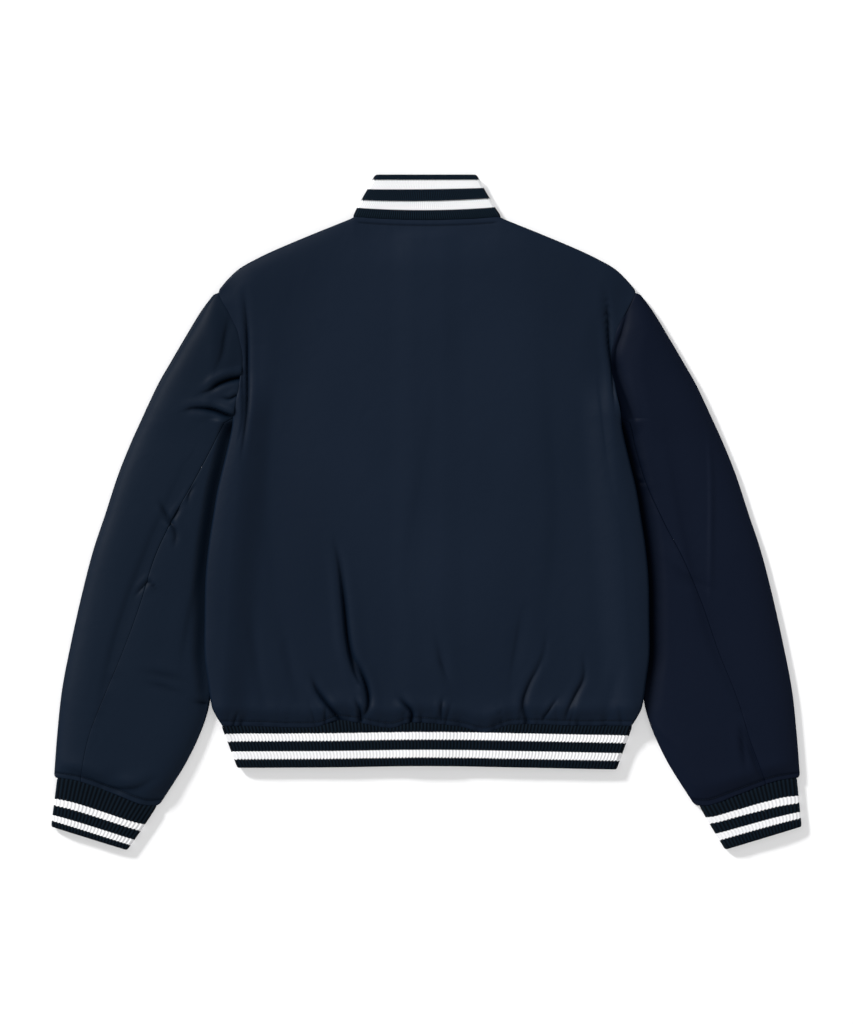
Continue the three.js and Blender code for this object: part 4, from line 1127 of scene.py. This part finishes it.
under = (1 - level) / 2
front_shape = top_y(FRONT_NECK, collar_across(seam_half)) - FRONT_NECK["y"]
front_shape = front_shape / (seam_y - FRONT_NECK["y"])
shape = lerp(share ** BACK_NECK["power"], front_shape, under)
middle = lerp(back_y, front_y, under)
x = side * (collar_across(half) + radius * out) + COLLAR_LEAN * smooth(down, 0, 0.3)
y = middle + (side_y - middle) * shape
from_fold = seam_flat * (1 - share)
swell = COLLAR_ROUND * rise(from_fold, COLLAR_ROLL) * (1 + level) / 2
swell = swell * np.sin(np.pi * np.clip(down, 0, 1)) ** 0.5
z = BODY_DEPTH / 2 + level * radius + swell + under * COLLAR_RIB_HEIGHT * RIB_HEIGHT
points = np.stack(np.broadcast_arrays(x, y, z), -1)
tilted = down - STRIPE_TILT * side * share * np.sin(np.pi * down) ** 3
collar_marks = {"band": np.interp(tilted, COLLAR_STRIPES, range(6)),
                "rib": phase_at[None, :], "loop": down * COLLAR_DEPTH / LOOP}
collar = cloth("collar_rib", points, 1, rib_finish("rib_knit_collar", 0.16, 1.7), sink=RIB_SINK,
               sink_reach=RIB_SINK_REACH, ridge=COLLAR_RIB_HEIGHT * rib_ridge(phase_at)[None, :],
               marks=collar_marks)
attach(collar, "root")
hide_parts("collar")

# ------------------------------------------------------------------ Rib hem band
# A long band of the same doubled rib draws the body in at the hem. It lies in two layers with a
# soft fold at each side, and its ends lap at the centre front underneath.
HEM_TOP_HALF = 256 * MM
HEM_END_HALF = 236 * MM
HEM_END_Y = -319.4 * MM
HEM_EDGE = MM * np.array([(-240, 0), (-120, 0.6), (0, 2.2), (120, 0.4), (240, -2)])  # place across, rise
HEM_RIB = 4.2 * MM
# Above the lower edge. The white stripes are about 2.5 mm wider than the real ones.
HEM_STRIPES = MM * np.array([-10.4, 10.4, 20.8, 32.6, 42.7, 60])
HEM_ROUND = 1.6 * MM
HEM_ROLL = 10 * MM
hem_rows = stops((0, 0.02, 2), (0.02, 0.95, 20), (0.95, 1, 4))
hem_flat = (HEM_TOP_HALF + HEM_END_HALF) / 2 - BODY_DEPTH / 2
side, phase_at, share, out, level = open_ring(hem_flat, HEM_RIB, RIB_STEPS)
down = hem_rows[:, None]
fold = lerp(HEM_TOP_HALF, HEM_END_HALF, down) - BODY_DEPTH / 2
start = np.where((level < 0) & (share < 1), -LAP / 2, 0)
x = side * (lerp(start, fold, share) + radius * out)
seam_x = side * share * (HEM_TOP_HALF - BODY_DEPTH / 2)
seam_line = np.where(level > 0, curve(HEM_WAVE, seam_x), HEM_Y)
end_line = HEM_END_Y + curve(HEM_EDGE, side * share * hem_flat)
y = lerp(seam_line + RIB_TUCK, end_line, down)
under_lift = lap_lift(x, np.where(side < 0, OUTER_LIFT, INNER_LIFT))
lift = np.where(level > 0, lap_lift(x, BACK_LAP_LIFT), under_lift)
from_fold = hem_flat * (1 - share)
swell = (HEM_ROUND + 0.5 * MM * wobble(x, 55 * MM, 81)) * rise(from_fold, HEM_ROLL) * (1 + level) / 2
swell = swell * np.sin(np.pi * np.clip(down * 0.9 + 0.05, 0, 1)) ** 0.5
z = BODY_DEPTH / 2 + level * radius + side_lift(x, y) + lift + swell + (1 - level) / 2 * RIB_HEIGHT
points = np.stack(np.broadcast_arrays(x, y, z), -1)
above_end = y - end_line
hem_marks = {"band": 5 - np.interp(above_end, HEM_STRIPES, range(6)), "rib": phase_at[None, :],
             "loop": above_end / LOOP}
hem_band = cloth("hem_band_rib", points, -1, rib_finish("rib_knit_hem", 0.13), sink=RIB_SINK,
                 sink_reach=RIB_SINK_REACH, ridge=rib_ridge(phase_at)[None, :], marks=hem_marks)
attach(hem_band, "root")
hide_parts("hem_band")

# ------------------------------------------------------------------ Snaps
# Seven sprung snaps close the fronts. They stay fastened under the left edge, each a pressed cap
# of dark plated brass.
snap_metal, tree, shader = new_finish("dark_plated_brass")
snap_place = tree.nodes.new("ShaderNodeTexCoord").outputs["Object"]
rub = add_node(tree, "ShaderNodeTexNoise", {"Vector": snap_place, "Scale": 700.0, "Detail": 3.0})
plating = blend(tree, rub.outputs["Fac"], (0.020, 0.022, 0.026, 1), (0.045, 0.046, 0.050, 1))
dulled = add_node(tree, "ShaderNodeMapRange", {"Value": rub.outputs["Fac"], "To Min": 0.28, "To Max": 0.46})
fill_in(tree, shader, {"Base Color": plating, "Roughness": dulled.outputs["Result"], "Metallic": 0.9})
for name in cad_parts:
    if name.startswith("snap_"):
        snap = bpy.data.objects[name]
        snap.data.materials.clear()
        snap.data.materials.append(snap_metal)
